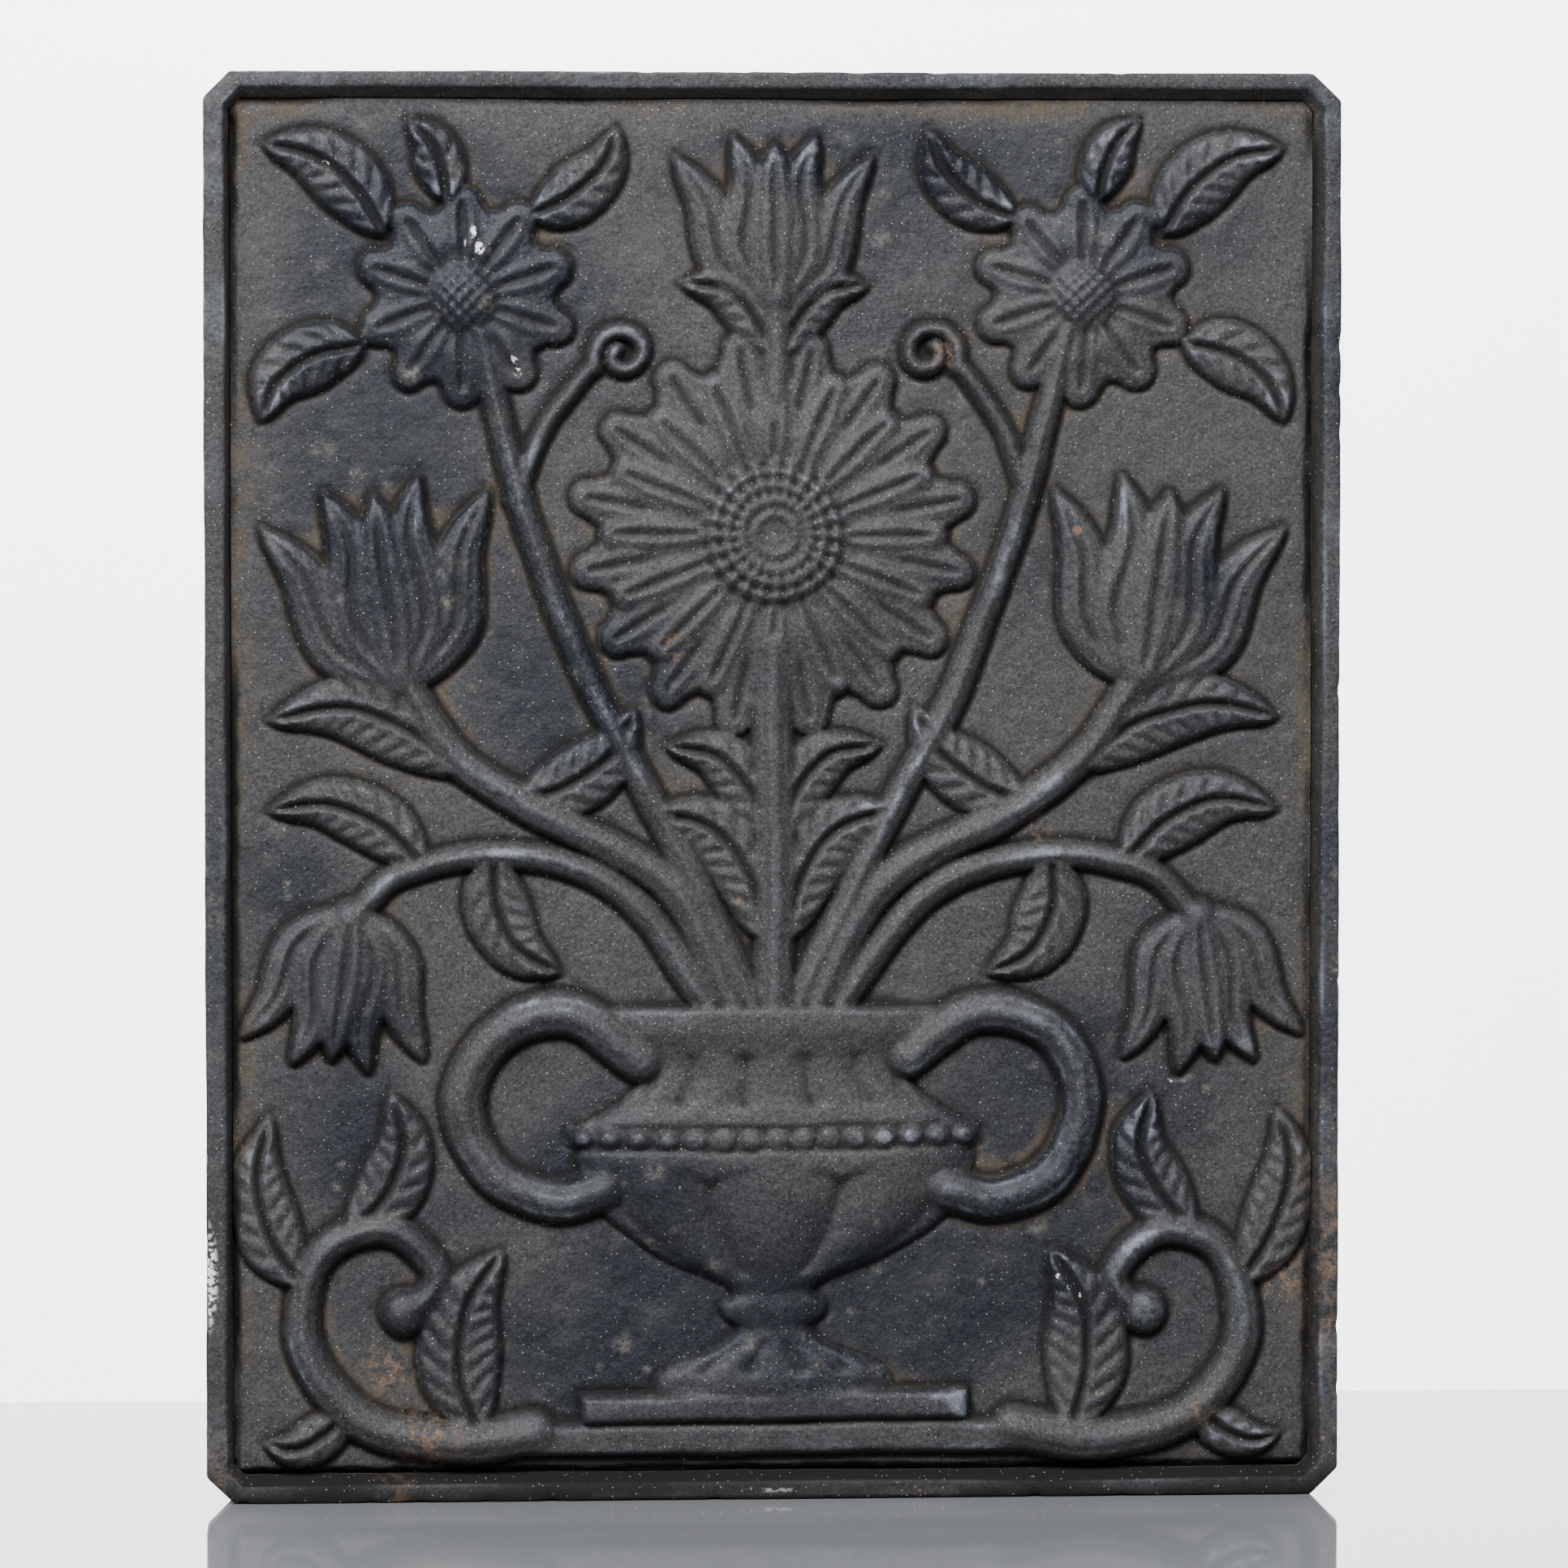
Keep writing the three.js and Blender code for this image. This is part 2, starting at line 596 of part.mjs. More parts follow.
// The lower rivet has a sunk head under the foot and a dome on the stay's tab.
function lowerRivet(x) {
  const first = [
    new THREE.Vector2(0, 0), new THREE.Vector2(rivetHeadRadius, 0),
    new THREE.Vector2(rivetRadius, rivetHeadHeight),
  ];
  const grip = stayBottomZ + stayThickness - 2 * seatGap;
  const geometry = new THREE.LatheGeometry(rivetProfile(grip, first), 12);
  geometry.rotateX(Math.PI / 2);
  return solid(geometry.translate(x, lowerRivetY, seatGap));
}

// ---- the fireback ----------------------------------------------------------------------------
const ironColours = {
  border: { color: 0x474749, roughness: 0.62, metalness: 0.55 },
  panel: { color: 0x3d3e42, roughness: 0.66, metalness: 0.5 },
  strap: { color: 0x3a3532, roughness: 0.7, metalness: 0.6 },
  fastener: { color: 0x5a4a3e, roughness: 0.75, metalness: 0.6 },
};

const fireback = new THREE.Group();

function addPiece(name, manifold, finish) {
  const mesh = new THREE.Mesh(geometryOf(manifold), new THREE.MeshStandardMaterial(ironColours[finish]));
  mesh.name = name;
  fireback.add(mesh);
}

addPiece('border_frame', borderFrame(), 'border');
addPiece('relief_panel', reliefPanel(), 'panel');
for (const [hand, side] of [['left', -1], ['right', 1]]) {
  const x = side * bossSpacing / 2;
  addPiece(`strap_foot_${hand}`, strapFoot(x), 'strap');
  addPiece(`stay_${hand}`, stay(x), 'strap');
  addPiece(`stay_rivet_upper_${hand}`, upperRivet(x), 'fastener');
  addPiece(`stay_rivet_lower_${hand}`, lowerRivet(x), 'fastener');
  for (const [level, z] of [['lower', lowerBossHeight], ['upper', upperBossZ]]) {
    addPiece(`stud_${level}_${hand}`, stud(x, z), 'fastener');
    addPiece(`washer_${level}_${hand}`, washer(x, z), 'fastener');
    addPiece(`nut_${level}_${hand}`, squareNut(x, z), 'fastener');
  }
}

export default fireback;
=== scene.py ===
from math import cos, degrees, pi, radians, sin, tan

import bmesh
import bpy
import numpy as np
from mathutils import Matrix, Vector


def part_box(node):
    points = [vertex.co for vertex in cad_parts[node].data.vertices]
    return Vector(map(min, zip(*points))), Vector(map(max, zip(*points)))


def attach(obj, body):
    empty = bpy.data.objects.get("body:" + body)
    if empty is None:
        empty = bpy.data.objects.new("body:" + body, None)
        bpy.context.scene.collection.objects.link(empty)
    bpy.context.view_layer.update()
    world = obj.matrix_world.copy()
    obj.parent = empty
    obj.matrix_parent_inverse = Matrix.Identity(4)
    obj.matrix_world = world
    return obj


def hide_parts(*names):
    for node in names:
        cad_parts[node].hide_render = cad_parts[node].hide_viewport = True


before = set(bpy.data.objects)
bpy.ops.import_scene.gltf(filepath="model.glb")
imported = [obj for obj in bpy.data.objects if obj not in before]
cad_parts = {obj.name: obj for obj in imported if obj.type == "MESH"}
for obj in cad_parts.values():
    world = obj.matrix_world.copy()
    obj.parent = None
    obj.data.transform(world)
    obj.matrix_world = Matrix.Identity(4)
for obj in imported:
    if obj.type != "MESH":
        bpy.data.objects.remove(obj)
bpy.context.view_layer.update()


# ---- the border casting ------------------------------------------------------------------------
# A frame of sand-cast iron in one piece: a raised rim with clipped corners, a wall that leans in to
# the panel's bed, and a ledge behind that carries the panel. It is a little wavy as it came from the
# sand, rubbed pale along its edges, and brown dust lies along the foot of the wall; painted shade
# darkens the wall, its foot and the lowest rim.
MM = 0.001
RIM_WIDTH = 6.5 * MM
RIM_HEIGHT = 6.0 * MM
WALL_LEAN = 3.0 * MM
WALL_BELOW_GROUND = 9.3 * MM
LEDGE_WIDTH = 14.0 * MM
BACK_WIDTH = 23.5 * MM
CORNER_CLIP = 9.5 * MM
RIM_ROUNDING = 1.1 * MM
RIM_SHIFT = {"left": 0.8, "right": -0.3, "top": -0.8, "bottom": -0.3}  # mm that each side is wider
CUTS_ACROSS, CUTS_UP = 190, 240  # cuts of the mesh along the plate's width and height
KNOCKS = 70  # small chips along its edges

border_low, border_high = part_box("border_frame")
plate_width, plate_depth, plate_height = border_high - border_low
half_width = plate_width / MM / 2
middle_z = plate_height / MM / 2
front_y = border_low.y


def ease(t):
    """A smooth step from 0 to 1."""
    t = np.clip(t, 0, 1)
    return t * t * (3 - 2 * t)


def bell(t):
    """1 at 0, and smoothly down to nothing by about 2 either way."""
    return np.exp(-t ** 2)


def spot(x, z, centre_x, centre_z, wide, high):
    """1 at that place, and nothing by about twice those reaches."""
    return np.exp(-((x - centre_x) / wide) ** 2 - ((z - centre_z) / high) ** 2)


def sand_waves(x, z, size, seed):
    """Smooth unevenness between -1 and 1, with lumps of the given size in mm."""
    knots = np.random.RandomState(seed).uniform(-1, 1, (64, 64))
    u, v = x / size + 17.3, z / size + 9.1
    i, j = np.floor(u).astype(int), np.floor(v).astype(int)
    s, t = ease(u - i), ease(v - j)
    low = knots[j % 64, i % 64] * (1 - s) + knots[j % 64, (i + 1) % 64] * s
    high = knots[(j + 1) % 64, i % 64] * (1 - s) + knots[(j + 1) % 64, (i + 1) % 64] * s
    return low * (1 - t) + high * t


def read_points(mesh, what="co"):
    """The places (co) or the normals of a mesh's points, one row each."""
    values = np.empty(len(mesh.vertices) * 3)
    mesh.vertices.foreach_get(what, values)
    return values.reshape(-1, 3)


def move_points(mesh, places):
    """Puts a mesh's points at those places."""
    mesh.vertices.foreach_set("co", places.ravel())
    mesh.update()


def mark_points(mesh, name, values):
    """Keeps a value for each point, which the finish reads by its name."""
    layer = mesh.attributes.new(name, "FLOAT", "POINT")
    layer.data.foreach_set("value", np.asarray(values, np.float32))


def to_piece(name, mesh, finish, slot, *nodes):
    """The finished mesh as a piece of the fireback, in the place of those CAD nodes."""
    piece = bpy.data.objects.new(name, mesh)
    bpy.context.scene.collection.objects.link(piece)
    mesh.materials.append(finish)
    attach(piece, "root")
    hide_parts(*nodes)


def shade(mesh, sharpest):
    """Shades a mesh smooth, but for its edges over that many degrees."""
    mesh.shade_smooth()
    mesh.set_sharp_from_angle(angle=radians(sharpest))


def to_mesh(bm, name):
    """Ends the work on a bmesh and gives its mesh, with every face pointing out."""
    bmesh.ops.recalc_face_normals(bm, faces=bm.faces)
    mesh = bpy.data.meshes.new(name)
    bm.to_mesh(mesh)
    bm.free()
    return mesh


class Finish:
    """A material in the making. Sizes are in mm, and each call adds one step of the finish."""

    def __init__(self, name):
        self.material = bpy.data.materials.new(name)
        self.material.use_nodes = True
        self.tree = self.material.node_tree
        self.shader = self.tree.nodes["Principled BSDF"]
        self.place = self.add("TexCoord").outputs["Object"]

    def add(self, kind, sockets=None, **settings):
        """A new node with those settings, fed with values or with other nodes' sockets."""
        node = self.tree.nodes.new("ShaderNode" + kind)
        for key, value in settings.items():
            setattr(node, key, value)
        for key, value in (sockets or {}).items():
            self.feed(node.inputs[key], value)
        return node

    def feed(self, socket, value):
        if isinstance(value, bpy.types.NodeSocket):
            self.tree.links.new(value, socket)
        else:
            socket.default_value = value

    def mark(self, name):
        """A value that the mesh keeps for each point."""
        return self.add("Attribute", attribute_name=name).outputs["Fac"]

    def mottle(self, size, seed, detail=3.0, roughness=0.55):
        """Cloudy unevenness round 0.5, with lumps of that size."""
        sockets = {"Vector": self.place, "W": seed, "Scale": 1000 / size, "Detail": detail}
        sockets["Roughness"] = roughness
        return self.add("TexNoise", sockets, noise_dimensions="4D").outputs[0]

    def between(self, value, low, high):
        """0 up to low and 1 from high on, or the other way round."""
        sockets = {"Value": value, "From Min": low, "From Max": high}
        return self.add("MapRange", sockets, interpolation_type="SMOOTHSTEP").outputs[0]

    def times(self, a, b):
        return self.add("Math", {0: a, 1: b}, operation="MULTIPLY").outputs[0]

    def plus(self, a, b):
        return self.add("Math", {0: a, 1: b}, operation="ADD", use_clamp=True).outputs[0]

    def spots(self, spacing, radius, share, seed, full=0.6):
        """Round spots of that radius, one to a cell, kept in that share of the cells. Each fades from
        the full share of its radius outwards."""
        moved = self.add("VectorMath", {0: self.place, 1: (seed, seed * 0.7, seed * 1.3)}).outputs[0]
        cells = self.add("TexVoronoi", {"Vector": moved, "Scale": 1000 / spacing})
        inside = self.between(cells.outputs["Distance"], radius / spacing, full * radius / spacing)
        pick = self.add("SeparateColor", {0: cells.outputs["Color"]}).outputs[0]
        return self.times(inside, self.between(pick, 1 - share, 1 - share + 0.02))

    def over(self, lower, upper, share):
        """The upper colour laid over the lower one by that share."""
        mix = self.add("Mix", data_type="RGBA")
        for socket, value in ((0, share), (6, lower), (7, upper)):
            self.feed(mix.inputs[socket], (*value, 1) if isinstance(value, tuple) else value)
        return mix.outputs[2]

    def graded(self, share, low, high):
        """A number between low and high, by that share."""
        sockets = {"Value": share, "To Min": low, "To Max": high}
        return self.add("MapRange", sockets).outputs[0]

    def bump(self, height, depth, below=None):
        """Surface texture of that depth, added on top of the texture below."""
        sockets = {"Height": height, "Distance": depth * MM, "Strength": 1.0}
        if below:
            sockets["Normal"] = below
        return self.add("Bump", sockets).outputs[0]

    def set(self, **sockets):
        """Feeds the shader's own sockets and gives the finished material."""
        for key, value in sockets.items():
            value = (*value, 1) if isinstance(value, tuple) else value
            self.feed(self.shader.inputs[key.replace("_", " ")], value)
        return self.material


def cast_iron(name, seed, charcoal, blue_black, dust_share):
    """Old sand-cast iron: grainy charcoal with a bluish black bloom, painted shade (near black) in the
    crevices, brown dust in the hollows, grey wear where it is rubbed with paler stretches that are partly a
    painted highlight, a few tan rust spots and pale specks."""
    f = Finish(name)
    # near black for the painted shade
    painted_shade_black = (0.004, 0.0035, 0.003)
    rubbed_grey, pale_wear_and_highlight = (0.072, 0.077, 0.092), (0.155, 0.168, 0.2)
    film_grey, dust_brown = (0.05, 0.0485, 0.0455), (0.075, 0.057, 0.039)
    tan_bloom, rust = (0.105, 0.095, 0.083), (0.2, 0.124, 0.078)
    pale_grit, white_paint = (0.36, 0.34, 0.31), (0.6, 0.6, 0.58)
    clouds = f.mottle(30, seed, 6, 0.62)
    grain = f.mottle(0.95, seed + 1, 4, 0.75)
    lightness = f.between(grain, 0.36, 0.66)
    plain = f.over(tuple(0.5 * c for c in charcoal), tuple(1.7 * c for c in charcoal), lightness)
    bloomed = f.over(tuple(0.4 * c for c in blue_black), tuple(2.1 * c for c in blue_black), lightness)
    colour = f.over(plain, bloomed, f.mark("bloom"))
    colour = f.over(colour, tuple(1.7 * c for c in charcoal), f.times(f.between(clouds, 0.5, 0.75), 0.35))
    fuzzy = f.plus(f.spots(15, 5.4, 0.5, seed + 3, full=0), f.spots(9, 2.6, 0.3, seed + 14, full=0))
    fuzzy = f.times(fuzzy, f.between(f.mottle(1.7, seed + 12, 4, 0.7), 0.36, 0.62))
    on_bloom = f.graded(f.mark("bloom"), 0.15, 1.0)
    colour = f.over(colour, tan_bloom, f.times(f.times(fuzzy, 0.85), on_bloom))
    dirt = f.times(f.mark("dusty"), f.between(f.mottle(7, seed + 2, 6, 0.7), 0.34, 0.6))
    dirt = f.times(dirt, dust_share)
    dust = f.over(film_grey, dust_brown, f.between(f.mark("dusty"), 0.2, 0.6))
    colour = f.over(colour, dust, f.times(dirt, f.graded(lightness, 0.6, 1.0)))
    rubbed = f.times(f.mark("rubbed"), f.between(f.mottle(3, seed + 4, 6, 0.75), 0.4, 0.62))
    colour = f.over(colour, rubbed_grey, f.times(rubbed, 0.75))
    # pale bluish wear in stretches along the rubbed places, partly a painted highlight on the raised forms
    worn_stretches = f.between(f.mottle(19, seed + 15, 4, 0.6), 0.47, 0.6)
    worn = f.times(f.between(f.mark("rubbed"), 0.35, 0.9), worn_stretches)
    colour = f.over(colour, pale_wear_and_highlight, f.times(worn, f.graded(lightness, 0.24, 0.7)))
    # painted shade: near black wherever the mesh is marked for it, in crevices and down the border's wall
    colour = f.over(colour, painted_shade_black, f.mark("painted_shade"))
    freckles = f.plus(f.spots(17, 0.9, 0.4, seed), f.spots(41, 2.2, 0.25, seed + 5))
    stained = f.times(f.mark("rusty"), f.between(f.mottle(4, seed + 6, 5, 0.65), 0.44, 0.6))
    rusting = f.plus(f.times(freckles, 0.6), f.times(stained, 0.68))
    colour = f.over(colour, rust, f.times(rusting, f.graded(lightness, 0.5, 1.0)))
    specks = f.plus(f.spots(4.6, 0.36, 0.4, seed + 7), f.spots(1.7, 0.27, 0.4, seed + 8))
    colour = f.over(colour, pale_grit, f.times(specks, 0.55))
    flecks = f.between(f.mottle(2.0, seed + 13, 3, 0.6), 0.46, 0.54)
    colour = f.over(colour, white_paint, f.times(f.between(f.mark("splashed"), 0.25, 0.55), flecks))
    relief = f.bump(f.mottle(7.0, seed + 9, 2), 0.8)
    relief = f.bump(grain, 0.32, relief)
    relief = f.bump(f.spots(2.6, 0.5, 0.4, seed + 10), -0.15, relief)
    polish = f.mottle(1.6, seed + 11, 5, 0.68)
    gloss = f.graded(f.mark("bloom"), f.graded(polish, 0.44, 0.72), f.graded(polish, 0.3, 0.58))
    gloss = f.graded(f.plus(f.plus(dirt, rusting), f.mark("painted_shade")), gloss, 0.9)
    return f.set(Base_Color=colour, Metallic=0.35, Roughness=gloss, Normal=relief, Specular_IOR_Level=0.3)


frame_bm = bmesh.new()
bmesh.ops.create_cube(frame_bm, size=1.0)
bmesh.ops.scale(frame_bm, vec=(plate_width, plate_depth, plate_height), verts=frame_bm.verts)
bmesh.ops.translate(frame_bm, vec=(0, 0, plate_height / 2), verts=frame_bm.verts)


def edges_along(bm, axis):
    """The edges that run along X, Y or Z (axis 0, 1 or 2)."""
    found = []
    for edge in bm.edges:
        run = edge.verts[1].co - edge.verts[0].co
        if abs(run[axis]) > 0.99 * run.length:
            found.append(edge)
    return found


bevel = {"affect": "EDGES", "profile": 0.5, "material": -1, "offset_type": "OFFSET"}
bmesh.ops.bevel(frame_bm, geom=edges_along(frame_bm, 1), offset=CORNER_CLIP, segments=1, **bevel)
frame_bm.normal_update()
front = min(frame_bm.faces, key=lambda face: face.normal.y)
back = max(frame_bm.faces, key=lambda face: face.normal.y)
inset = {"use_even_offset": True, "use_boundary": True}
bmesh.ops.inset_region(frame_bm, faces=[front], thickness=RIM_WIDTH, **inset)
bmesh.ops.inset_region(frame_bm, faces=[front], thickness=WALL_LEAN, depth=-RIM_HEIGHT, **inset)
sunk = bmesh.ops.extrude_discrete_faces(frame_bm, faces=[front])["faces"]
bmesh.ops.translate(frame_bm, vec=(0, WALL_BELOW_GROUND, 0), verts=sunk[0].verts)
bmesh.ops.inset_region(frame_bm, faces=sunk, thickness=LEDGE_WIDTH, **inset)
bmesh.ops.inset_region(frame_bm, faces=[back], thickness=BACK_WIDTH, **inset)
# so far in, the clipped corners have run out: the ledge's opening has plain square corners
for edge in [edge for face in (*sunk, back) for edge in face.edges]:
    one, other = (vert.co for vert in edge.verts)
    if min(abs(one.x - other.x), abs(one.z - other.z)) > MM:
        corner_x = min(one.x, other.x, key=abs)
        corner_z = min(one.z, other.z, key=lambda level: abs(level - plate_height / 2))
        for vert in edge.verts:
            vert.co.x, vert.co.z = corner_x, corner_z
bmesh.ops.delete(frame_bm, geom=[*sunk, back], context="FACES_ONLY")
bmesh.ops.remove_doubles(frame_bm, verts=frame_bm.verts, dist=1e-6)
bmesh.ops.bridge_loops(frame_bm, edges=[edge for edge in frame_bm.edges if edge.is_boundary])
bmesh.ops.recalc_face_normals(frame_bm, faces=frame_bm.faces)
ridges = [e for e in frame_bm.edges if e.is_convex and degrees(e.calc_face_angle(0)) > 20]
bmesh.ops.bevel(frame_bm, geom=ridges, offset=RIM_ROUNDING, segments=3, **bevel)
for axis, cuts, shortest in ((0, CUTS_ACROSS, 0.2), (2, CUTS_UP, 0.2), (1, 5, 0.006),
                             (0, 4, 0.004), (2, 4, 0.004)):
    long_edges = [e for e in edges_along(frame_bm, axis) if e.calc_length() > shortest]
    bmesh.ops.subdivide_edges(frame_bm, edges=long_edges, cuts=cuts, use_grid_fill=True)
border_mesh = to_mesh(frame_bm, "border")

places = read_points(border_mesh) / MM
x, y, z = places.T
rise = z - middle_z
clip_line = (half_width + middle_z - CORNER_CLIP / MM - np.abs(x) - np.abs(rise)) / 2 ** 0.5
inwards = np.minimum(np.minimum(half_width - np.abs(x), middle_z - np.abs(rise)), clip_line)
# the rim isn't equally wide on all four sides
on_wall = (inwards > 4) & (inwards < 11) & (y < -5.2)
share = np.where(on_wall, ease((-y - 5.2) / 3.0), 0)
wander = 0.45 * sand_waves(x, z, 60, 21)
shift_x = np.where(x < 0, RIM_SHIFT["left"], -RIM_SHIFT["right"]) + wander
shift_z = np.where(rise < 0, RIM_SHIFT["bottom"], -RIM_SHIFT["top"]) + wander
x = x + share * ease((np.abs(x) - 180) / 8) * shift_x
z = z + share * ease((np.abs(rise) - 231) / 8) * shift_z
lift = 0.26 * sand_waves(x + 0.7 * y, z, 47, 11) + 0.13 * sand_waves(x + y, z - y, 12, 12)
lift += 0.07 * sand_waves(x + 1.7 * y, z + 0.6 * y, 3.4, 13) - 0.18
# the chips, where the plate has been set down or knocked
knocks = np.random.RandomState(5)
for _ in range(KNOCKS):
    side, along = knocks.randint(4), knocks.uniform(-1, 1)
    struck = [(-half_width, along * middle_z), (half_width, along * middle_z),
              (along * half_width, -middle_z), (along * half_width, middle_z)][side]
    away = np.hypot(np.hypot(x - struck[0], rise - struck[1]), y - knocks.choice([-11, -11, 11]))
    lift -= knocks.uniform(0.3, 1.0) * bell(away / knocks.uniform(1.2, 3.2))
move_points(border_mesh, np.stack([x, y, z], 1) * MM)
normals = read_points(border_mesh, "normal")
places = np.stack([x, y, z], 1) + normals * lift[:, None]
places[:, 0] = np.clip(places[:, 0], -half_width, half_width)
places[:, 1] = np.clip(places[:, 1], front_y / MM, -front_y / MM)
places[:, 2] = np.clip(places[:, 2], 0, 2 * middle_z)
move_points(border_mesh, places * MM)

edge_wear = bell(inwards / 1.3) + bell((inwards - RIM_WIDTH / MM) / 1.4)
patchy = ease(0.35 + 0.9 * sand_waves(x, z, 26, 31))
chipped_foot = bell(z / 3.0) * ease(0.3 + 1.2 * sand_waves(x, z, 15, 32))
rubbed = (y < -8) * edge_wear * patchy + 1.2 * (y < 0) * chipped_foot
mark_points(border_mesh, "rubbed", np.clip(rubbed, 0, 1))
foot_of_wall = ease((y + 10.5) / 5) * (inwards > 5) * (y < 0)
mark_points(border_mesh, "dusty", np.clip(foot_of_wall + 0.5 * ease(sand_waves(x, z, 40, 33) - 0.1), 0, 1))
rusty = 0.95 * spot(x, z, 197, 80, 5, 46) + 0.6 * spot(x, z, -196, 12, 6, 14)
rusty += 0.5 * ease(sand_waves(x, z, 31, 34) * 1.5 - 0.8) + 0.35 * (y > 3)
mark_points(border_mesh, "rusty", np.clip(rusty, 0, 1))
splashed = spot(x, z, -196.5, 80, 2.4, 22) * (y < -7)
splashed += 0.37 * bell((z - 3.4) / 1.8) * (y < -6) * ease(0.2 + 1.4 * sand_waves(x, z, 17, 44))
mark_points(border_mesh, "splashed", splashed)
mark_points(border_mesh, "bloom", ease(0.35 + 0.8 * sand_waves(x, z, 70, 36)))
# painted shade: near black down the inner wall and along its foot, less on the wall at the top, over the
# lowest rim, and a painted contact shadow along the bottom edge
in_front = y < -3
at_top = ease((rise - 225) / 6)
wall_shade = ease((inwards - 6.5) / 1.1) * ease((y + 11.0) / 1.2) * in_front
wall_shade *= (0.72 + 0.25 * sand_waves(x, z, 31, 38)) * (1 - 0.8 * ease((inwards - 7.6) / 1.0) * at_top)
wall_foot_shade = bell((inwards - 9.2) / 1.4) * in_front * ease((y + 9) / 3)
wall_foot_shade *= (1 - 0.75 * at_top) * (0.7 + 0.5 * sand_waves(x, z, 23, 37))
low_rim_shade = 0.58 + 0.45 * ease((inwards - 6.3) / 0.9) + 0.35 * sand_waves(x, z, 36, 39)
low_rim_shade *= ease((14 - z) / 6) * in_front
# the last term is a painted contact shadow: a near-black line along the bottom edge
painted_shade = low_rim_shade + np.maximum(wall_foot_shade, wall_shade) + (y < -6) * np.exp(-(z / 1.3) ** 4)
mark_points(border_mesh, "painted_shade", np.clip(painted_shade, 0, 1))
border_mesh.shade_smooth()
border_iron = cast_iron("border cast iron", 3.0, (0.025, 0.025, 0.026), (0.012, 0.0135, 0.0175), 0.7)
to_piece("cast_border", border_mesh, border_iron, "border_iron", "border_frame")


# ---- the relief panel --------------------------------------------------------------------------
# A second iron casting, let into the border, with an urn of flowers, leaves and scrolls up to 10 mm
# high. It was pressed in sand from a carved board, so its forms are softened, with sunk outlines, and
# dust or a black slot runs along the border. Four bosses on its back take the studs.
PANEL_HALF_WIDTH = 189.4
PANEL_HALF_HEIGHT = 240.4
GRID_STEP = 0.8
SLOT_WIDTH = 1.9
SLOT_DEPTH = 4.6
FLOWER_RISE, STEM_RISE, LEAF_RISE = 5.6, 6.4, 5.4
HANDLE_HALF_WIDTH, HANDLE_RISE = 7.6, 8.4
GROUND_Y, PANEL_BACK_Y = -5.0, 4.0
BOSS_RADIUS, BOSS_FILLET, HOLE_RADIUS = 12.0, 2.6, 4.35
BOSS_END_Y, HOLE_FLOOR_Y = 10.95, -1.2
PANEL_TRIANGLES = 176000  # of the front, once thinned
FOOT_X = 110.0  # of the strap feet behind, which the bosses' studs clamp
BOSS_LEVELS = (150, 420)
boss_places = [(x, z) for x in (-FOOT_X, FOOT_X) for z in BOSS_LEVELS]

columns = round(2 * PANEL_HALF_WIDTH / GRID_STEP)
rows = round(2 * PANEL_HALF_HEIGHT / GRID_STEP)
across = np.linspace(-PANEL_HALF_WIDTH, PANEL_HALF_WIDTH, columns + 1)
upward = np.linspace(middle_z - PANEL_HALF_HEIGHT, middle_z + PANEL_HALF_HEIGHT, rows + 1)
flat_x, flat_z = np.meshgrid(across, upward)


def board_waves(size, seed):
    """The sand's unevenness over the whole board."""
    return sand_waves(flat_x, flat_z, size, seed)


# the carver's hand: nothing is quite straight or quite the same on both sides
carved_x = flat_x + 1.3 * board_waves(46, 3) + 0.35 * board_waves(11, 4)
carved_z = flat_z + 1.3 * board_waves(52, 5) + 0.35 * board_waves(12, 6)
height = np.zeros_like(flat_x)
clear = np.full_like(flat_x, 99.0)


def soften(field, radius):
    """Blurs a field by that radius in mm, as moulding sand and wear round a carved pattern."""
    reach = int(np.ceil(2.5 * radius / GRID_STEP))
    taps = np.exp(-0.5 * (np.arange(-reach, reach + 1) * GRID_STEP / radius) ** 2)
    taps /= taps.sum()
    for axis in (0, 1):
        pad = [(reach, reach) if a == axis else (0, 0) for a in (0, 1)]
        padded = np.pad(field, pad, mode="edge")
        length = field.shape[axis]
        field = sum(tap * np.take(padded, range(k, k + length), axis=axis) for k, tap in enumerate(taps))
    return field


def curve(*points, steps=12):
    """A smooth line through the points."""
    p = np.array(points, float)
    p = np.vstack([2 * p[0] - p[1], p, 2 * p[-1] - p[-2]])
    t = np.linspace(0, 1, steps, endpoint=False)[:, None]
    runs = []
    for a, b, c, d in zip(p, p[1:], p[2:], p[3:]):
        bend = (2 * a - 5 * b + 4 * c - d) * t ** 2 + (3 * b - a - 3 * c + d) * t ** 3
        runs.append(0.5 * (2 * b + (c - a) * t + bend))
    return np.vstack(runs + [p[-2:-1]])


def curl(centre, outer, inner, start, turns, steps=40):
    """A line that winds in to its middle."""
    t = np.linspace(0, 1, steps)
    radius, angle = outer + (inner - outer) * t, radians(start) + 2 * pi * turns * t
    return np.stack([centre[0] + radius * np.cos(angle), centre[1] + radius * np.sin(angle)], 1)


def window(points, reach):
    """The part of the board round the points."""
    low, high = points.min(0) - reach - 2, points.max(0) + reach + 2
    i = np.searchsorted(across, low[0]), np.searchsorted(across, high[0])
    j = np.searchsorted(upward, low[1]), np.searchsorted(upward, high[1])
    return slice(j[0], j[1]), slice(i[0], i[1])


def lay(view, form, gap):
    """Lays a form on the board; the higher one shows where two meet."""
    height[view] = np.maximum(height[view], form)
    clear[view] = np.minimum(clear[view], gap)


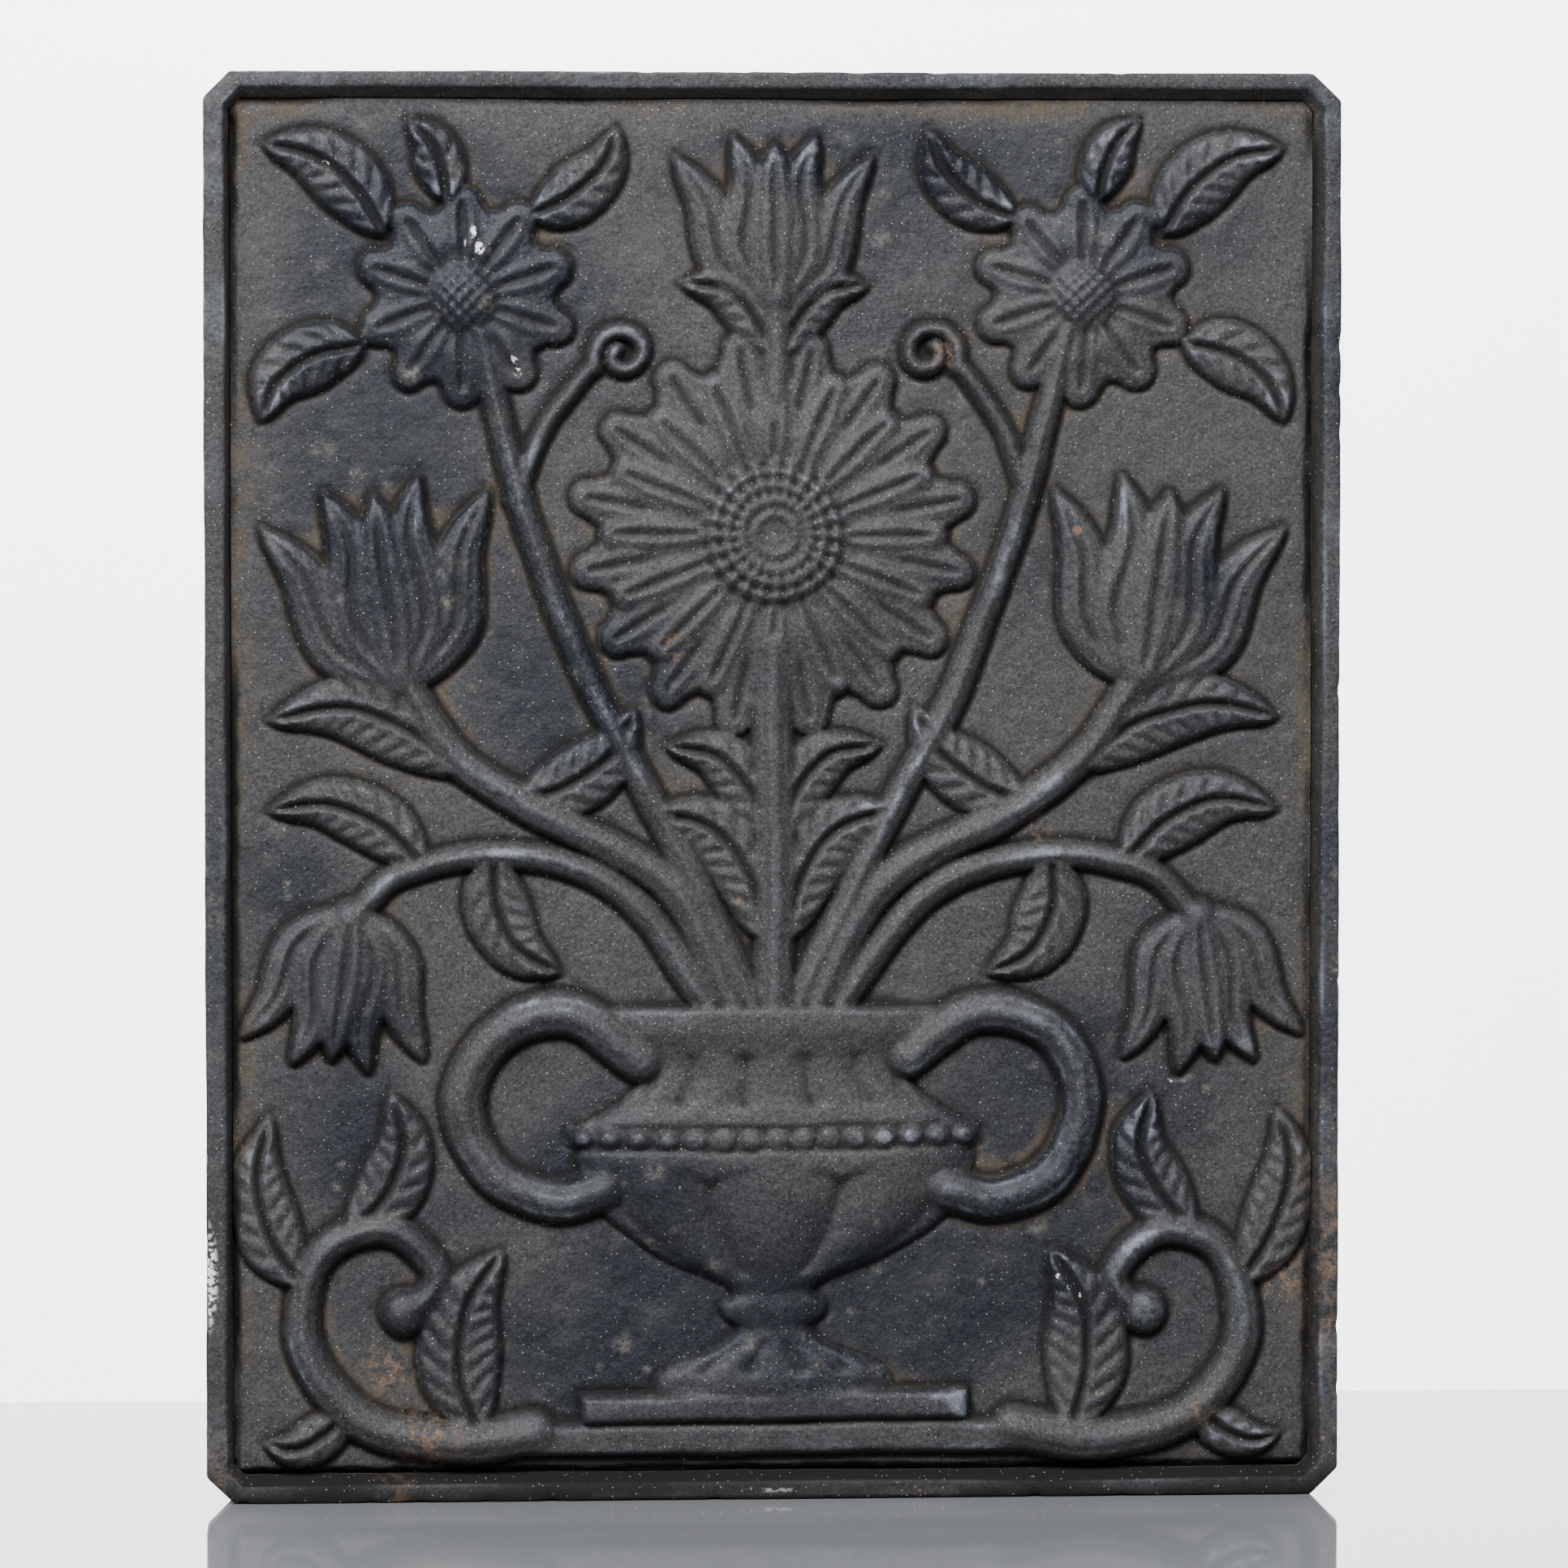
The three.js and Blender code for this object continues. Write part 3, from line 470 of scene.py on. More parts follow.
def lay_roll(line, half_wide, rise, sharp=2.0, tooling=None):
    """A rounded band along a line; its half width and its rise follow the share of the way."""
    shares = np.linspace(0, 1, 21)
    view = window(line, max(half_wide(s) for s in shares) + 4)
    px, pz = carved_x[view], carved_z[view]
    nearest, share, offset = np.full_like(px, 1e9), np.zeros_like(px), np.zeros_like(px)
    lengths = np.hypot(*np.diff(line, axis=0).T)
    starts, total = np.concatenate([[0], np.cumsum(lengths)]), lengths.sum()
    for (ax, az), (bx, bz), start, length in zip(line, line[1:], starts, lengths):
        if length < 1e-6:
            continue
        dx, dz = (bx - ax) / length, (bz - az) / length
        along = np.clip((px - ax) * dx + (pz - az) * dz, 0, length)
        ex, ez = px - ax - along * dx, pz - az - along * dz
        away = ex * ex + ez * ez
        nearer = away < nearest
        nearest = np.where(nearer, away, nearest)
        share = np.where(nearer, (start + along) / total, share)
        offset = np.where(nearer, np.sign(dx * ez - dz * ex), offset)
    distance = np.sqrt(nearest)
    width = np.interp(share, shares, [half_wide(s) for s in shares])
    top = np.interp(share, shares, [rise(s) for s in shares])
    t = distance / np.maximum(width, 0.05)
    form = top * np.sqrt(np.clip(1 - t ** sharp, 0, 1))
    if tooling:
        form = form + np.where(t < 1, tooling(share * total, offset * distance, width, t), 0)
    lay(view, np.where(t < 1, form, 0), np.maximum(distance - width, 0))


def lay_dome(centre, radius, rise, sharp=2.0, tooling=None):
    """A round boss, such as a flower's eye."""
    view = window(np.array([centre], float), radius + 4)
    dx, dz = carved_x[view] - centre[0], carved_z[view] - centre[1]
    t = np.hypot(dx, dz) / radius
    form = rise * np.sqrt(np.clip(1 - t ** sharp, 0, 1))
    if tooling:
        form = form + np.where(t < 1, tooling(dx, dz, t), 0)
    lay(view, np.where(t < 1, form, 0), np.maximum(t - 1, 0) * radius)


def lay_leaf(base, tip, half_wide, bow):
    """A bowed leaf with a sunk middle rib and slanting side veins."""
    base, tip = np.array(base, float), np.array(tip, float)
    run = tip - base
    side = np.array([-run[1], run[0]]) * bow
    line = curve(base, base + run * 0.33 + side * 0.8, base + run * 0.68 + side * 0.9, tip)

    def veins(s, v, w, t):
        off = np.abs(v)
        rib = -2.6 * bell(v / 1.3) + 0.8 * bell((off - 2.6) / 1.1)
        slant = ((s - 0.85 * off) % 7.5) / 7.5
        lines = -1.5 * bell((slant - 0.5) / 0.17) * ease((off - 2.2) / 1.5) * ease((0.95 - t) * 5)
        return rib * ease((1 - t) * 4) + lines - 1.3 * (1 - t) ** 2

    def half_width_at(s):
        return half_wide * (sin(pi * s ** 0.8) ** 0.8 if 0 < s < 1 else 0) + 1.2 * (1 - s)

    lay_roll(line, half_width_at, lambda s: LEAF_RISE, 3.4, veins)


def creased(s, v, w, t):
    """The chisel lines down a petal."""
    middle_line = -2.0 * bell(v / 1.15)
    return middle_line - 1.0 * bell((np.abs(v) - w * 0.55) / 0.85) - 0.5 * (1 - t) ** 2


def gouged(s, v, w, t):
    """Two shallow gouge lines that follow a stem."""
    return -0.95 * bell((np.abs(v) - w * 0.46) / 0.85) * ease((1 - t) * 5)


def lay_stem(points, half_wide, thinning, rise, lowering=0.0):
    """A gouged stem that gets thinner, and can get lower, along the way."""
    lay_roll(curve(*points), lambda s: half_wide - thinning * s, lambda s: rise - lowering * s,
             tooling=gouged)


def lay_petals(centre, inner, outer, count, half_wide, rise, turn=0.0):
    """Round-ended petals set about a flower's eye."""
    def half_width_at(s):
        return half_wide * (0.45 + 0.55 * sin(pi * min(s * 0.75 + 0.05, 1))) * (1 - max(s - 0.85, 0) * 1.4)

    def rise_at(s):
        return rise * (0.75 + 0.25 * sin(pi * min(s + 0.2, 1)))

    tip = outer - 0.6 * half_wide
    for n in range(count):
        angle = radians(turn) + 2 * pi * n / count
        spoke = np.array([cos(angle), sin(angle)])
        halfway = centre + spoke * (inner + tip) / 2
        line = curve(centre + spoke * inner, halfway, centre + spoke * tip, steps=4)
        lay_roll(line, half_width_at, rise_at, 2.8, creased)


def lay_cup(base, turn, size):
    """A flower cup of five pointed petals that opens in the direction of the turn."""
    angle = radians(turn)

    def at(u, v):
        east = base[0] + size * (u * cos(angle) - v * sin(angle))
        return east, base[1] + size * (u * sin(angle) + v * cos(angle))

    def blade(most):
        return lambda s: size * most * max(sin(pi * min(0.12 + 0.86 * s, 1)), 0.0) ** 0.7

    for side in (-1, 1):
        outer = curve(at(0, side * 3), at(14, side * 20), at(38, side * 26), at(56, side * 38))
        lay_roll(outer, blade(9.5), lambda s: 5.8, 2.6, creased)
        inner = curve(at(0, side * 2), at(20, side * 12), at(46, side * 10), at(64, side * 16))
        lay_roll(inner, blade(10), lambda s: 7.0, 2.6, creased)
    lay_roll(curve(at(2, 0), at(30, 0), at(60, 0)), blade(13), lambda s: 8.6, 2.4, creased)
    lay_dome(at(2, 0), 9 * size, 7.8)


def lay_daisy(centre, radius):
    """A round flower of ten petals with a pecked eye."""
    def pecked(u, v, t):
        return 1.3 * np.sin(u * 1.25) * np.sin(v * 1.25) * ease((1 - t) * 4)

    centre = np.array(centre, float)
    lay_petals(centre, radius * 0.3, radius, 10, radius * 0.28, FLOWER_RISE, 18)
    lay_dome(centre, radius * 0.36, 8.2, 2.0, pecked)


def lay_urn():
    """The urn: a turned outline of [height, half width] points, with a lobed bowl, a beaded band, a
    fluted neck and foot, and a wide lip."""
    foot = curve((37, 42), (44, 41), (49, 33), (55, 19), (60, 13), (64, 18), (69, 19), (73, 14), (77, 19),
                 (85, 39), (97, 57), (110, 67), (121, 70), steps=8)
    neck = curve((134, 64), (142, 52), (151, 46), (158, 49), (163, 59), steps=8)
    band, lip = [(122, 68), (124, 72.5), (131, 72.5), (132.5, 66)], [(164, 62), (171, 62), (173, 57)]
    outline = np.vstack([foot, band, neck, lip])
    half = np.interp(carved_z, outline[:, 0], outline[:, 1], left=0, right=0)
    t = np.abs(carved_x) / np.maximum(half, 0.01)
    form = (3.2 + 0.088 * half) * np.sqrt(np.clip(1 - t ** 2.3, 0, 1))
    angle = np.arcsin(np.clip(carved_x / np.maximum(half, 0.01), -1, 1))
    lobes = np.abs(np.cos(angle * 4.5)) ** 0.5
    bowl = ease((carved_z - 76) / 6) * ease((114 - carved_z + 6 * lobes) / 4)
    form *= 1 - 0.52 * bowl * (1 - lobes)
    flutes = np.abs(np.cos(angle * 7)) ** 0.55
    fluted = ease((carved_z - 137) / 3) * ease((158 - carved_z) / 3)
    fluted = fluted + ease((carved_z - 43) / 2) * ease((57 - carved_z) / 3)
    form *= 1 - 0.42 * fluted * (1 - flutes)
    beads = np.abs(((carved_x + 4.8) % 9.6) - 4.8) / 4.3
    bead = np.sqrt(np.clip(1 - (beads ** 2 + ((carved_z - 127.5) / 3.5) ** 2), 0, 1))
    form = np.where((carved_z > 123) & (carved_z < 132), form - 1.8 + 3.4 * bead, form)
    height[:] = np.where((t < 1) & (half > 0), np.maximum(form, 0.4 * height), height)
    beside = np.maximum(np.abs(carved_x) - half, 0)
    clear[:] = np.minimum(clear, np.where((carved_z > 37) & (carved_z < 173), beside, 99))


def lay_step(half_length, low, high, rise):
    """A rounded step of the urn's plinth."""
    beyond_ends = np.abs(carved_x) - half_length
    outside = np.maximum(beyond_ends, np.abs(carved_z - (low + high) / 2) - (high - low) / 2)
    form = rise * np.sqrt(np.clip(1 - np.clip(1 + outside / 3, 0, 1) ** 3, 0, 1))
    lay((slice(None), slice(None)), np.where(outside < 0, form, 0), np.maximum(outside, 0))


lay_step(88, 15, 27, 5.0)
lay_step(68, 27, 38, 7.0)
# the right half, which the left half mirrors. A stem is its points, half width, thinning, rise and,
# where it gets lower, the lowering. A leaf is its base, tip, half width and bow.
STEMS = [
    ([(84, 24), (112, 20), (146, 29), (165, 56), (159, 86), (136, 95), (119, 79), (129, 63)],
     8.4, 3.6, 8.4, 1.6),  # the scroll in the lower corner
    ([(18, 166), (52, 212), (92, 227), (130, 221), (149, 204)], 5.6, 1.2, STEM_RISE),  # drooping flower
    ([(11, 166), (36, 214), (80, 241), (110, 262), (130, 290)], 6.8, 1.0, STEM_RISE + 0.6),  # open cup
    ([(5, 168), (36, 232), (66, 290), (88, 350), (102, 410)], 5.4, 0.8, STEM_RISE - 0.4)]  # daisy
LEAVES = [
    ((104, 24), (96, 88), 14.5, -0.16), ((166, 76), (177, 136), 11.5, -0.15),  # the scroll's
    ((148, 94), (134, 144), 11.5, 0.2), ((150, 32), (180, 21), 7.5, -0.2),
    ((97, 227), (74, 184), 11.5, 0.22), ((122, 224), (178, 242), 11, 0.18),  # the drooping flower's
    ((88, 246), (48, 278), 11.5, 0.14), ((108, 258), (178, 274), 13, 0.16),  # the open cup's
    ((136, 444), (179, 474), 12, 0.16), ((84, 450), (54, 481), 10, 0.16),  # the daisy's
    ((144, 406), (180, 378), 11.5, 0.2), ((114, 456), (128, 484), 8.5, 0.14),
    ((3, 196), (46, 242), 12, 0.22), ((2, 232), (38, 264), 10, 0.22),  # up the middle stem
    ((2, 402), (34, 426), 9, 0.2)]
for side in (-1, 1):
    for points, *form in STEMS:
        lay_stem([(side * x, z) for x, z in points], *form)
    for (x, z), (tip_x, tip_z), half_wide, bow in LEAVES:
        lay_leaf((side * x, z), (side * tip_x, tip_z), half_wide, side * bow)
    lay_dome((side * 130, 66), 8.5, 8.4)  # the scroll's end
    lay_cup((side * 149, 206), -90 + side * 7, 0.84)  # the drooping flower
    lay_cup((side * 130, 288), 90 - side * 9, 1.06)  # the open cup
    lay_daisy((side * 108, 422), 39)
    climbing = curve((90, 350), (80, 376), (66, 396), steps=8)
    tendril = np.vstack([climbing, curl((54, 402), 10.5, 3, -25, 1.2)])
    lay_roll(tendril * (side, 1), lambda s: 3.6 - 0.9 * s, lambda s: 5.0)

# the middle stem, with a sunflower and a cup above it
lay_roll(curve((0, 160), (0, 230), (0, 300)), lambda s: 7.2, lambda s: 7.8, tooling=gouged)
lay_roll(curve((0, 380), (0, 405), (0, 430)), lambda s: 5.6, lambda s: STEM_RISE)
lay_cup((0, 420), 90, 0.9)
sunflower = np.array([0.0, 338.0])
lay_petals(sunflower, 26, 72, 16, 10.6, FLOWER_RISE - 0.2, 11.25)
lay_petals(sunflower, 24, 61, 16, 9.8, FLOWER_RISE + 2.0, 0)


def seeds(u, v, t):
    """The seeds of the sunflower, in crossing spirals on a dished disc."""
    radius, angle = np.hypot(u, v), np.arctan2(v, u)
    crossing = np.sin(12 * angle + 0.62 * radius) * np.sin(-12 * angle + 0.62 * radius + 0.6)
    return 2.0 * crossing * ease((1 - t) * 5) * ease(t * 3) - 3.0 * np.clip(1 - t, 0, 1) ** 2


lay_dome(sunflower, 30, 10.4, 3.0, seeds)
lay_urn()
# the urn's handles, which lie on its neck and on its bowl
handle = [(47, 155), (71, 171), (97, 164), (109, 140), (99, 115), (78, 105), (60, 109)]
for side in (-1, 1):
    lay_stem([(side * x, z) for x, z in handle], HANDLE_HALF_WIDTH, 0.0, HANDLE_RISE)

relief = soften(height, 0.6) - 1.2 * bell(clear / 1.7) * (clear > 0)
relief = soften(relief, 0.45)
relief = np.where(relief > 9, 9 + (relief - 9) * 0.4, relief)
relief += 0.30 * board_waves(38, 7) + 0.16 * board_waves(9, 8)
relief += 0.10 * board_waves(3.1, 9)
# along the border: the ground rounds down into a dirty groove, and is a black slot in places
to_border = np.minimum(PANEL_HALF_WIDTH - np.abs(flat_x), PANEL_HALF_HEIGHT - np.abs(flat_z - middle_z))
along = board_waves(41, 41) + 0.5 * board_waves(13, 43)
slot_open = 0.45 + 0.5 * along
near_left = ease((-flat_x - 180) / 4)
slot_open = np.maximum(slot_open, 0.9 * near_left * np.exp(-((flat_z - 255) / 42) ** 6))
slot_open = np.maximum(slot_open, 1.1 * near_left * np.exp(-((flat_z - 82) / 36) ** 6))
slot_open = np.maximum(slot_open, 0.85 * ease((18 - flat_z) / 5)) * (0.85 + 0.2 * along)
slot_open *= 1 - 0.6 * ease((flat_z - 482) / 4)
slot_reach = SLOT_WIDTH + 0.5 * board_waves(8, 42)
groove = np.clip(slot_open, 0, 1.2) * np.exp(-(to_border / slot_reach) ** 3)
relief -= SLOT_DEPTH * groove + 0.5 * bell(to_border / 6)

panel_bm = bmesh.new()
bmesh.ops.create_grid(panel_bm, x_segments=columns, y_segments=rows, size=0.5)
bmesh.ops.rotate(panel_bm, matrix=Matrix.Rotation(radians(90), 3, "X"), verts=panel_bm.verts)
carving = bpy.data.meshes.new("board")
panel_bm.to_mesh(carving)
panel_bm.free()
spread = read_points(carving)
i = np.rint((spread[:, 0] + 0.5) * columns).astype(int)
j = np.rint((spread[:, 2] + 0.5) * rows).astype(int)
move_points(carving, np.stack([across[i], GROUND_Y - relief[j, i], upward[j]], 1) * MM)

carved = bpy.data.objects.new("board", carving)
bpy.context.scene.collection.objects.link(carved)
thinned = carved.modifiers.new("thinned", "DECIMATE")
thinned.ratio = PANEL_TRIANGLES / (2 * len(carving.polygons))
carved_now = carved.evaluated_get(bpy.context.evaluated_depsgraph_get())
panel_bm = bmesh.new()
panel_bm.from_mesh(carved_now.to_mesh())
carved_now.to_mesh_clear()
bpy.data.objects.remove(carved)


def carry_ring(bm, ring, y, centre=None, radius=None):
    """Extrudes a ring of edges to a depth, and to a radius round its centre. Gives the new ring."""
    grown = bmesh.ops.extrude_edge_only(bm, edges=ring)["geom"]
    for vert in (g for g in grown if isinstance(g, bmesh.types.BMVert)):
        vert.co.y = y * MM
        if centre:
            out = Vector((vert.co.x - centre[0] * MM, vert.co.z - centre[1] * MM)).normalized()
            vert.co.x = centre[0] * MM + out.x * radius * MM
            vert.co.z = centre[1] * MM + out.y * radius * MM
    return [g for g in grown if isinstance(g, bmesh.types.BMEdge)]


outline = carry_ring(panel_bm, [e for e in panel_bm.edges if e.is_boundary], PANEL_BACK_Y)
upright = Matrix.Rotation(radians(90), 4, "X")
boss_rings = []
for x, z in boss_places:
    place = Matrix.Translation((x * MM, PANEL_BACK_Y * MM, z * MM)) @ upright
    radius = (BOSS_RADIUS + BOSS_FILLET) * MM
    circle = bmesh.ops.create_circle(panel_bm, segments=48, radius=radius, matrix=place)["verts"]
    boss_rings.append(list({e for v in circle for e in v.link_edges}))
around_bosses = [e for ring in boss_rings for e in ring]
bmesh.ops.triangle_fill(panel_bm, edges=[*outline, *around_bosses], use_beauty=True)
for (x, z), ring in zip(boss_places, boss_rings):
    steps = []
    for n in range(1, 5):
        turn = radians(90) * n / 4
        out, up = BOSS_FILLET * (1 - sin(turn)), BOSS_FILLET * (1 - cos(turn))
        steps.append((BOSS_RADIUS + out, PANEL_BACK_Y + up))
    steps += [(BOSS_RADIUS, 10.4), (BOSS_RADIUS - 0.2, 10.75), (BOSS_RADIUS - 0.6, BOSS_END_Y)]
    steps += [(HOLE_RADIUS, BOSS_END_Y), (HOLE_RADIUS, HOLE_FLOOR_Y), (0.05, HOLE_FLOOR_Y - 0.1)]
    for radius, y in steps:
        ring = carry_ring(panel_bm, ring, y, (x, z), radius)
bmesh.ops.remove_doubles(panel_bm, verts=panel_bm.verts, dist=1e-7)
bmesh.ops.holes_fill(panel_bm, edges=[e for e in panel_bm.edges if e.is_boundary], sides=0)
panel_mesh = to_mesh(panel_bm, "panel")


def look_up(field, x, z):
    """The value of a field of the board at those places."""
    u = np.clip((x + PANEL_HALF_WIDTH) / (2 * PANEL_HALF_WIDTH) * columns, 0, columns - 1e-6)
    v = np.clip((z - upward[0]) / (2 * PANEL_HALF_HEIGHT) * rows, 0, rows - 1e-6)
    i, j = u.astype(int), v.astype(int)
    s, t = u - i, v - j
    low = field[j, i] * (1 - s) + field[j, i + 1] * s
    return low * (1 - t) + (field[j + 1, i] * (1 - s) + field[j + 1, i + 1] * s) * t


def mark_front(name, field, behind=0.0):
    """Marks the panel's front from a field of the board, and its back with one value."""
    mark_points(panel_mesh, name, np.clip(np.where(on_front, look_up(field, x, z), behind), 0, 1))


x, y, z = read_points(panel_mesh).T / MM
on_front = y < 3
over_ground = relief + SLOT_DEPTH * groove
hollow = ease((soften(over_ground, 7.0) - over_ground - 0.5) / 2.2)
patches = ease(0.55 + 1.1 * board_waves(58, 51) + 0.4 * (flat_z - middle_z) / middle_z)
beside_border = bell(to_border / 9.0) * (0.55 + 0.6 * board_waves(33, 53))
settled = np.maximum(hollow * patches, beside_border)
settled = np.maximum(settled, 0.22 * patches * (over_ground < 2))
mark_front("dusty", settled, 0.35)
# painted shade: the crevices at the foot of the forms and the groove along the border are painted near
# black
crevice_shade = ease((soften(over_ground, 1.8) - over_ground - 0.12) / 0.9)
crevice_shade = np.maximum(0.9 * crevice_shade, np.clip(1.6 * groove, 0, 1))
mark_front("painted_shade", crevice_shade)
proud = ease((over_ground - soften(over_ground, 3.0) - 0.35) / 1.2) * ease((over_ground - 2.5) / 3)
proud *= ease(0.45 + 1.1 * board_waves(24, 54))
mark_front("rubbed", proud)
# the bluish patches: middle and reach in mm
BLOOMS = [(-122, 432, 52, 56), (-150, 362, 34, 62), (134, 448, 44, 28), (-70, 285, 44, 26),
          (-60, 116, 40, 20), (108, 116, 62, 46), (10, 66, 96, 36), (152, 330, 12, 30),
          (-150, 150, 26, 60), (40, 470, 60, 12)]
bloom = 0.08 + 0.5 * board_waves(55, 61) + 0.3 * board_waves(17, 62)
for place in BLOOMS:
    bloom += 1.3 * spot(flat_x, flat_z, *place)
bloom = ease(bloom * (1 - 0.6 * settled) * (1 - 0.25 * ease((over_ground - 1) / 3)))
mark_front("bloom", bloom, 0.3)
# the rust spots, likewise
RUST_SPOTS = [(-136, 46, 7), (-122, 22, 9), (181, 77, 7), (150, 29, 4), (-36, 300, 4), (60, 402, 5),
              (92, 236, 4)]
rusty = np.where(on_front, 0.0, 0.5 * ease(sand_waves(x, z, 60, 63) + 0.4))
for centre_x, centre_z, wide in RUST_SPOTS:
    rusty += on_front * 1.2 * spot(x, z, centre_x, centre_z, wide, wide)
mark_points(panel_mesh, "rusty", np.clip(rusty, 0, 1))
# the white paint splashes, likewise
SPLASHES = [(-105, 444, 1.5, 1.7), (-103, 438.5, 1.9, 2.1), (-107.5, 441, 0.9, 1.2),
            (-91, 400, 1.1, 1.6), (-89.5, 395.5, 1.4, 1.4), (-156, 468, 1.1, 1.1), (100, 78, 0.9, 0.9),
            (104, 74, 1.1, 0.9), (108, 71, 0.8, 0.8), (140, 146, 1.6, 0.5), (88, 307, 0.7, 1.6)]
splashed = np.zeros_like(x)
for place in SPLASHES:
    splashed += on_front * spot(x, z, *place)
mark_points(panel_mesh, "splashed", np.clip(splashed, 0, 1))
shade(panel_mesh, 50)
panel_iron = cast_iron("panel cast iron", 11.0, (0.0282, 0.028, 0.0286), (0.0068, 0.0079, 0.0118), 0.95)
to_piece("cast_panel", panel_mesh, panel_iron, "panel_iron", "relief_panel")


# ---- the strap feet ----------------------------------------------------------------------------
# Two flat bars of wrought iron, forged by hand: each stands against the border's ledge, is bent at
# the hearth and runs back as a foot. Both ends are rounded, and the bar is black from the fire, with
# hammer marks and rust at its edges.
STRAP_WIDTH, STRAP_THICKNESS = 25.0, 5.0
STRAP_LINE = [(13.8, 488.0), (13.8, 2.5), (130.0, 2.5)]  # its middle line, as [y, z]
STRAP_BEND = 7.5
HANDS = (("left", -1), ("right", 1))


def forged_bar(width, thickness, corners, bend_radius, rounded, seed):
    """A straight flat bar with its faces hammered and, if so said, its ends rounded, then bent to a
    line of [y, z] corners."""
    line = []
    for before, corner, after in zip(corners, corners[1:], corners[2:]):
        into = Vector((corner[0] - before[0], corner[1] - before[1])).normalized()
        out = Vector((after[0] - corner[0], after[1] - corner[1])).normalized()
        turn = into.angle(out)
        inner = (out - into * into.dot(out)).normalized()
        start = Vector(corner) - into * bend_radius * tan(turn / 2)
        for angle in (turn * n / 8 for n in range(9)):
            line.append(start + bend_radius * (into * sin(angle) + inner * (1 - cos(angle))))
    line = np.array([corners[0], *[tuple(point) for point in line], corners[-1]])
    steps = np.hypot(*np.diff(line, axis=0).T)
    way = np.concatenate([[0], np.cumsum(steps)])
    length = way[-1]

    bm = bmesh.new()
    bmesh.ops.create_cube(bm, size=1.0)
    bmesh.ops.scale(bm, vec=(width, thickness, length), verts=bm.verts)
    bmesh.ops.translate(bm, vec=(0, 0, length / 2), verts=bm.verts)
    bmesh.ops.bevel(bm, geom=edges_along(bm, 2), offset=0.9, segments=2, **bevel)
    bmesh.ops.subdivide_edges(bm, edges=edges_along(bm, 2), cuts=round(length / 1.5), use_grid_fill=True)
    wide_edges = [e for e in edges_along(bm, 0) if e.calc_length() > width / 2]
    bmesh.ops.subdivide_edges(bm, edges=wide_edges, cuts=9, use_grid_fill=True)
    mesh = to_mesh(bm, "bar")
    x, y, s = read_points(mesh).T
    half = width / 2
    for to_end in (s, length - s) if rounded else ():
        inside = np.clip(to_end / half, 0, 1)
        x = x * np.maximum(np.sqrt(1 - (1 - inside) ** 2), 0.16)
    on_face = x + 40 * np.sign(y)
    hammered = 0.30 * sand_waves(on_face, s, 15, seed) + 0.14 * sand_waves(on_face, s, 5, seed + 1)
    y = y * (0.93 + 0.05 * hammered)
    x = x * (1 - 0.012 + 0.012 * sand_waves(np.sign(x) * 50, s, 22, seed + 2))
    heading = np.gradient(line, way, axis=0)
    north = np.interp(s, way, heading[:, 0]), np.interp(s, way, heading[:, 1])
    size = np.hypot(*north)
    across_y, across_z = north[1] / size, -north[0] / size
    where_y = np.interp(s, way, line[:, 0]) + across_y * y
    where_z = np.interp(s, way, line[:, 1]) + across_z * y
    move_points(mesh, np.stack([x, where_y, where_z], 1) * MM)
    to_edge = np.minimum(half - np.abs(x), np.minimum(s, length - s))
    mark_points(mesh, "rubbed", bell(to_edge / 1.6))
    return mesh


def forged_iron(name, seed, black, rust_share, size=1.0):
    """Forged iron: fire-black scale with a bluish sheen, brown rust that has broken through it in
    patches, and bright worn edges."""
    f = Finish(name)
    brown, orange, steel = (0.058, 0.031, 0.018), (0.13, 0.062, 0.027), (0.12, 0.117, 0.114)
    scale = f.mottle(11 * size, seed, 5, 0.6)
    fine = f.mottle(1.6 * size, seed + 1, 4, 0.65)
    colour = f.over(black, tuple(2.1 * c for c in black), f.between(scale, 0.42, 0.68))
    broken = f.mottle(15 * size, seed + 2, 8, 0.74)
    patches = f.between(broken, 0.62 - 0.3 * rust_share, 0.72 - 0.2 * rust_share)
    patches = f.times(patches, f.between(f.mottle(2.8 * size, seed + 4, 5, 0.7), 0.36, 0.56))
    colour = f.over(colour, brown, patches)
    colour = f.over(colour, orange, f.times(patches, f.between(fine, 0.54, 0.66)))
    rubbed = f.times(f.mark("rubbed"), f.between(f.mottle(4 * size, seed + 3, 4), 0.42, 0.6))
    colour = f.over(colour, steel, f.times(rubbed, 0.6))
    relief = f.bump(scale, 0.5 * size)
    relief = f.bump(fine, 0.22 * size, relief)
    relief = f.bump(patches, 0.12 * size, relief)
    gloss = f.graded(patches, f.graded(fine, 0.38, 0.6), 0.88)
    return f.set(Base_Color=colour, Metallic=0.45, Roughness=gloss, Normal=relief)


strap_iron = forged_iron("fire-black wrought iron", 21.0, (0.015, 0.0145, 0.0155), 0.42)


def forge_pair(name, node, width, thickness, corners, bend_radius, rounded, seed):
    """The same bar on the left and on the right of the plate's back."""
    for hand, side in HANDS:
        mesh = forged_bar(width, thickness, corners, bend_radius, rounded, seed + side)
        mesh.transform(Matrix.Translation((side * FOOT_X * MM, 0, 0)))
        shade(mesh, 50)
        to_piece(f"{name}_{hand}", mesh, strap_iron, "strap_iron", f"{node}_{hand}")


forge_pair("forged_foot", "strap_foot", STRAP_WIDTH, STRAP_THICKNESS, STRAP_LINE, STRAP_BEND, True, 70)


# ---- the stays ---------------------------------------------------------------------------------
# A lighter flat bar on each side, cranked at both ends, riveted to the upright above and to the foot
# below, so that the plate can't fall back. Forged like the straps.
STAY_WIDTH, STAY_THICKNESS = 16.0, 5.0
STAY_LINE = [(19.1, 117.0), (19.1, 95.0), (74.6, 7.8), (96.6, 7.8)]
STAY_BEND = 6.0
forge_pair("forged_stay", "stay", STAY_WIDTH, STAY_THICKNESS, STAY_LINE, STAY_BEND, False, 80)


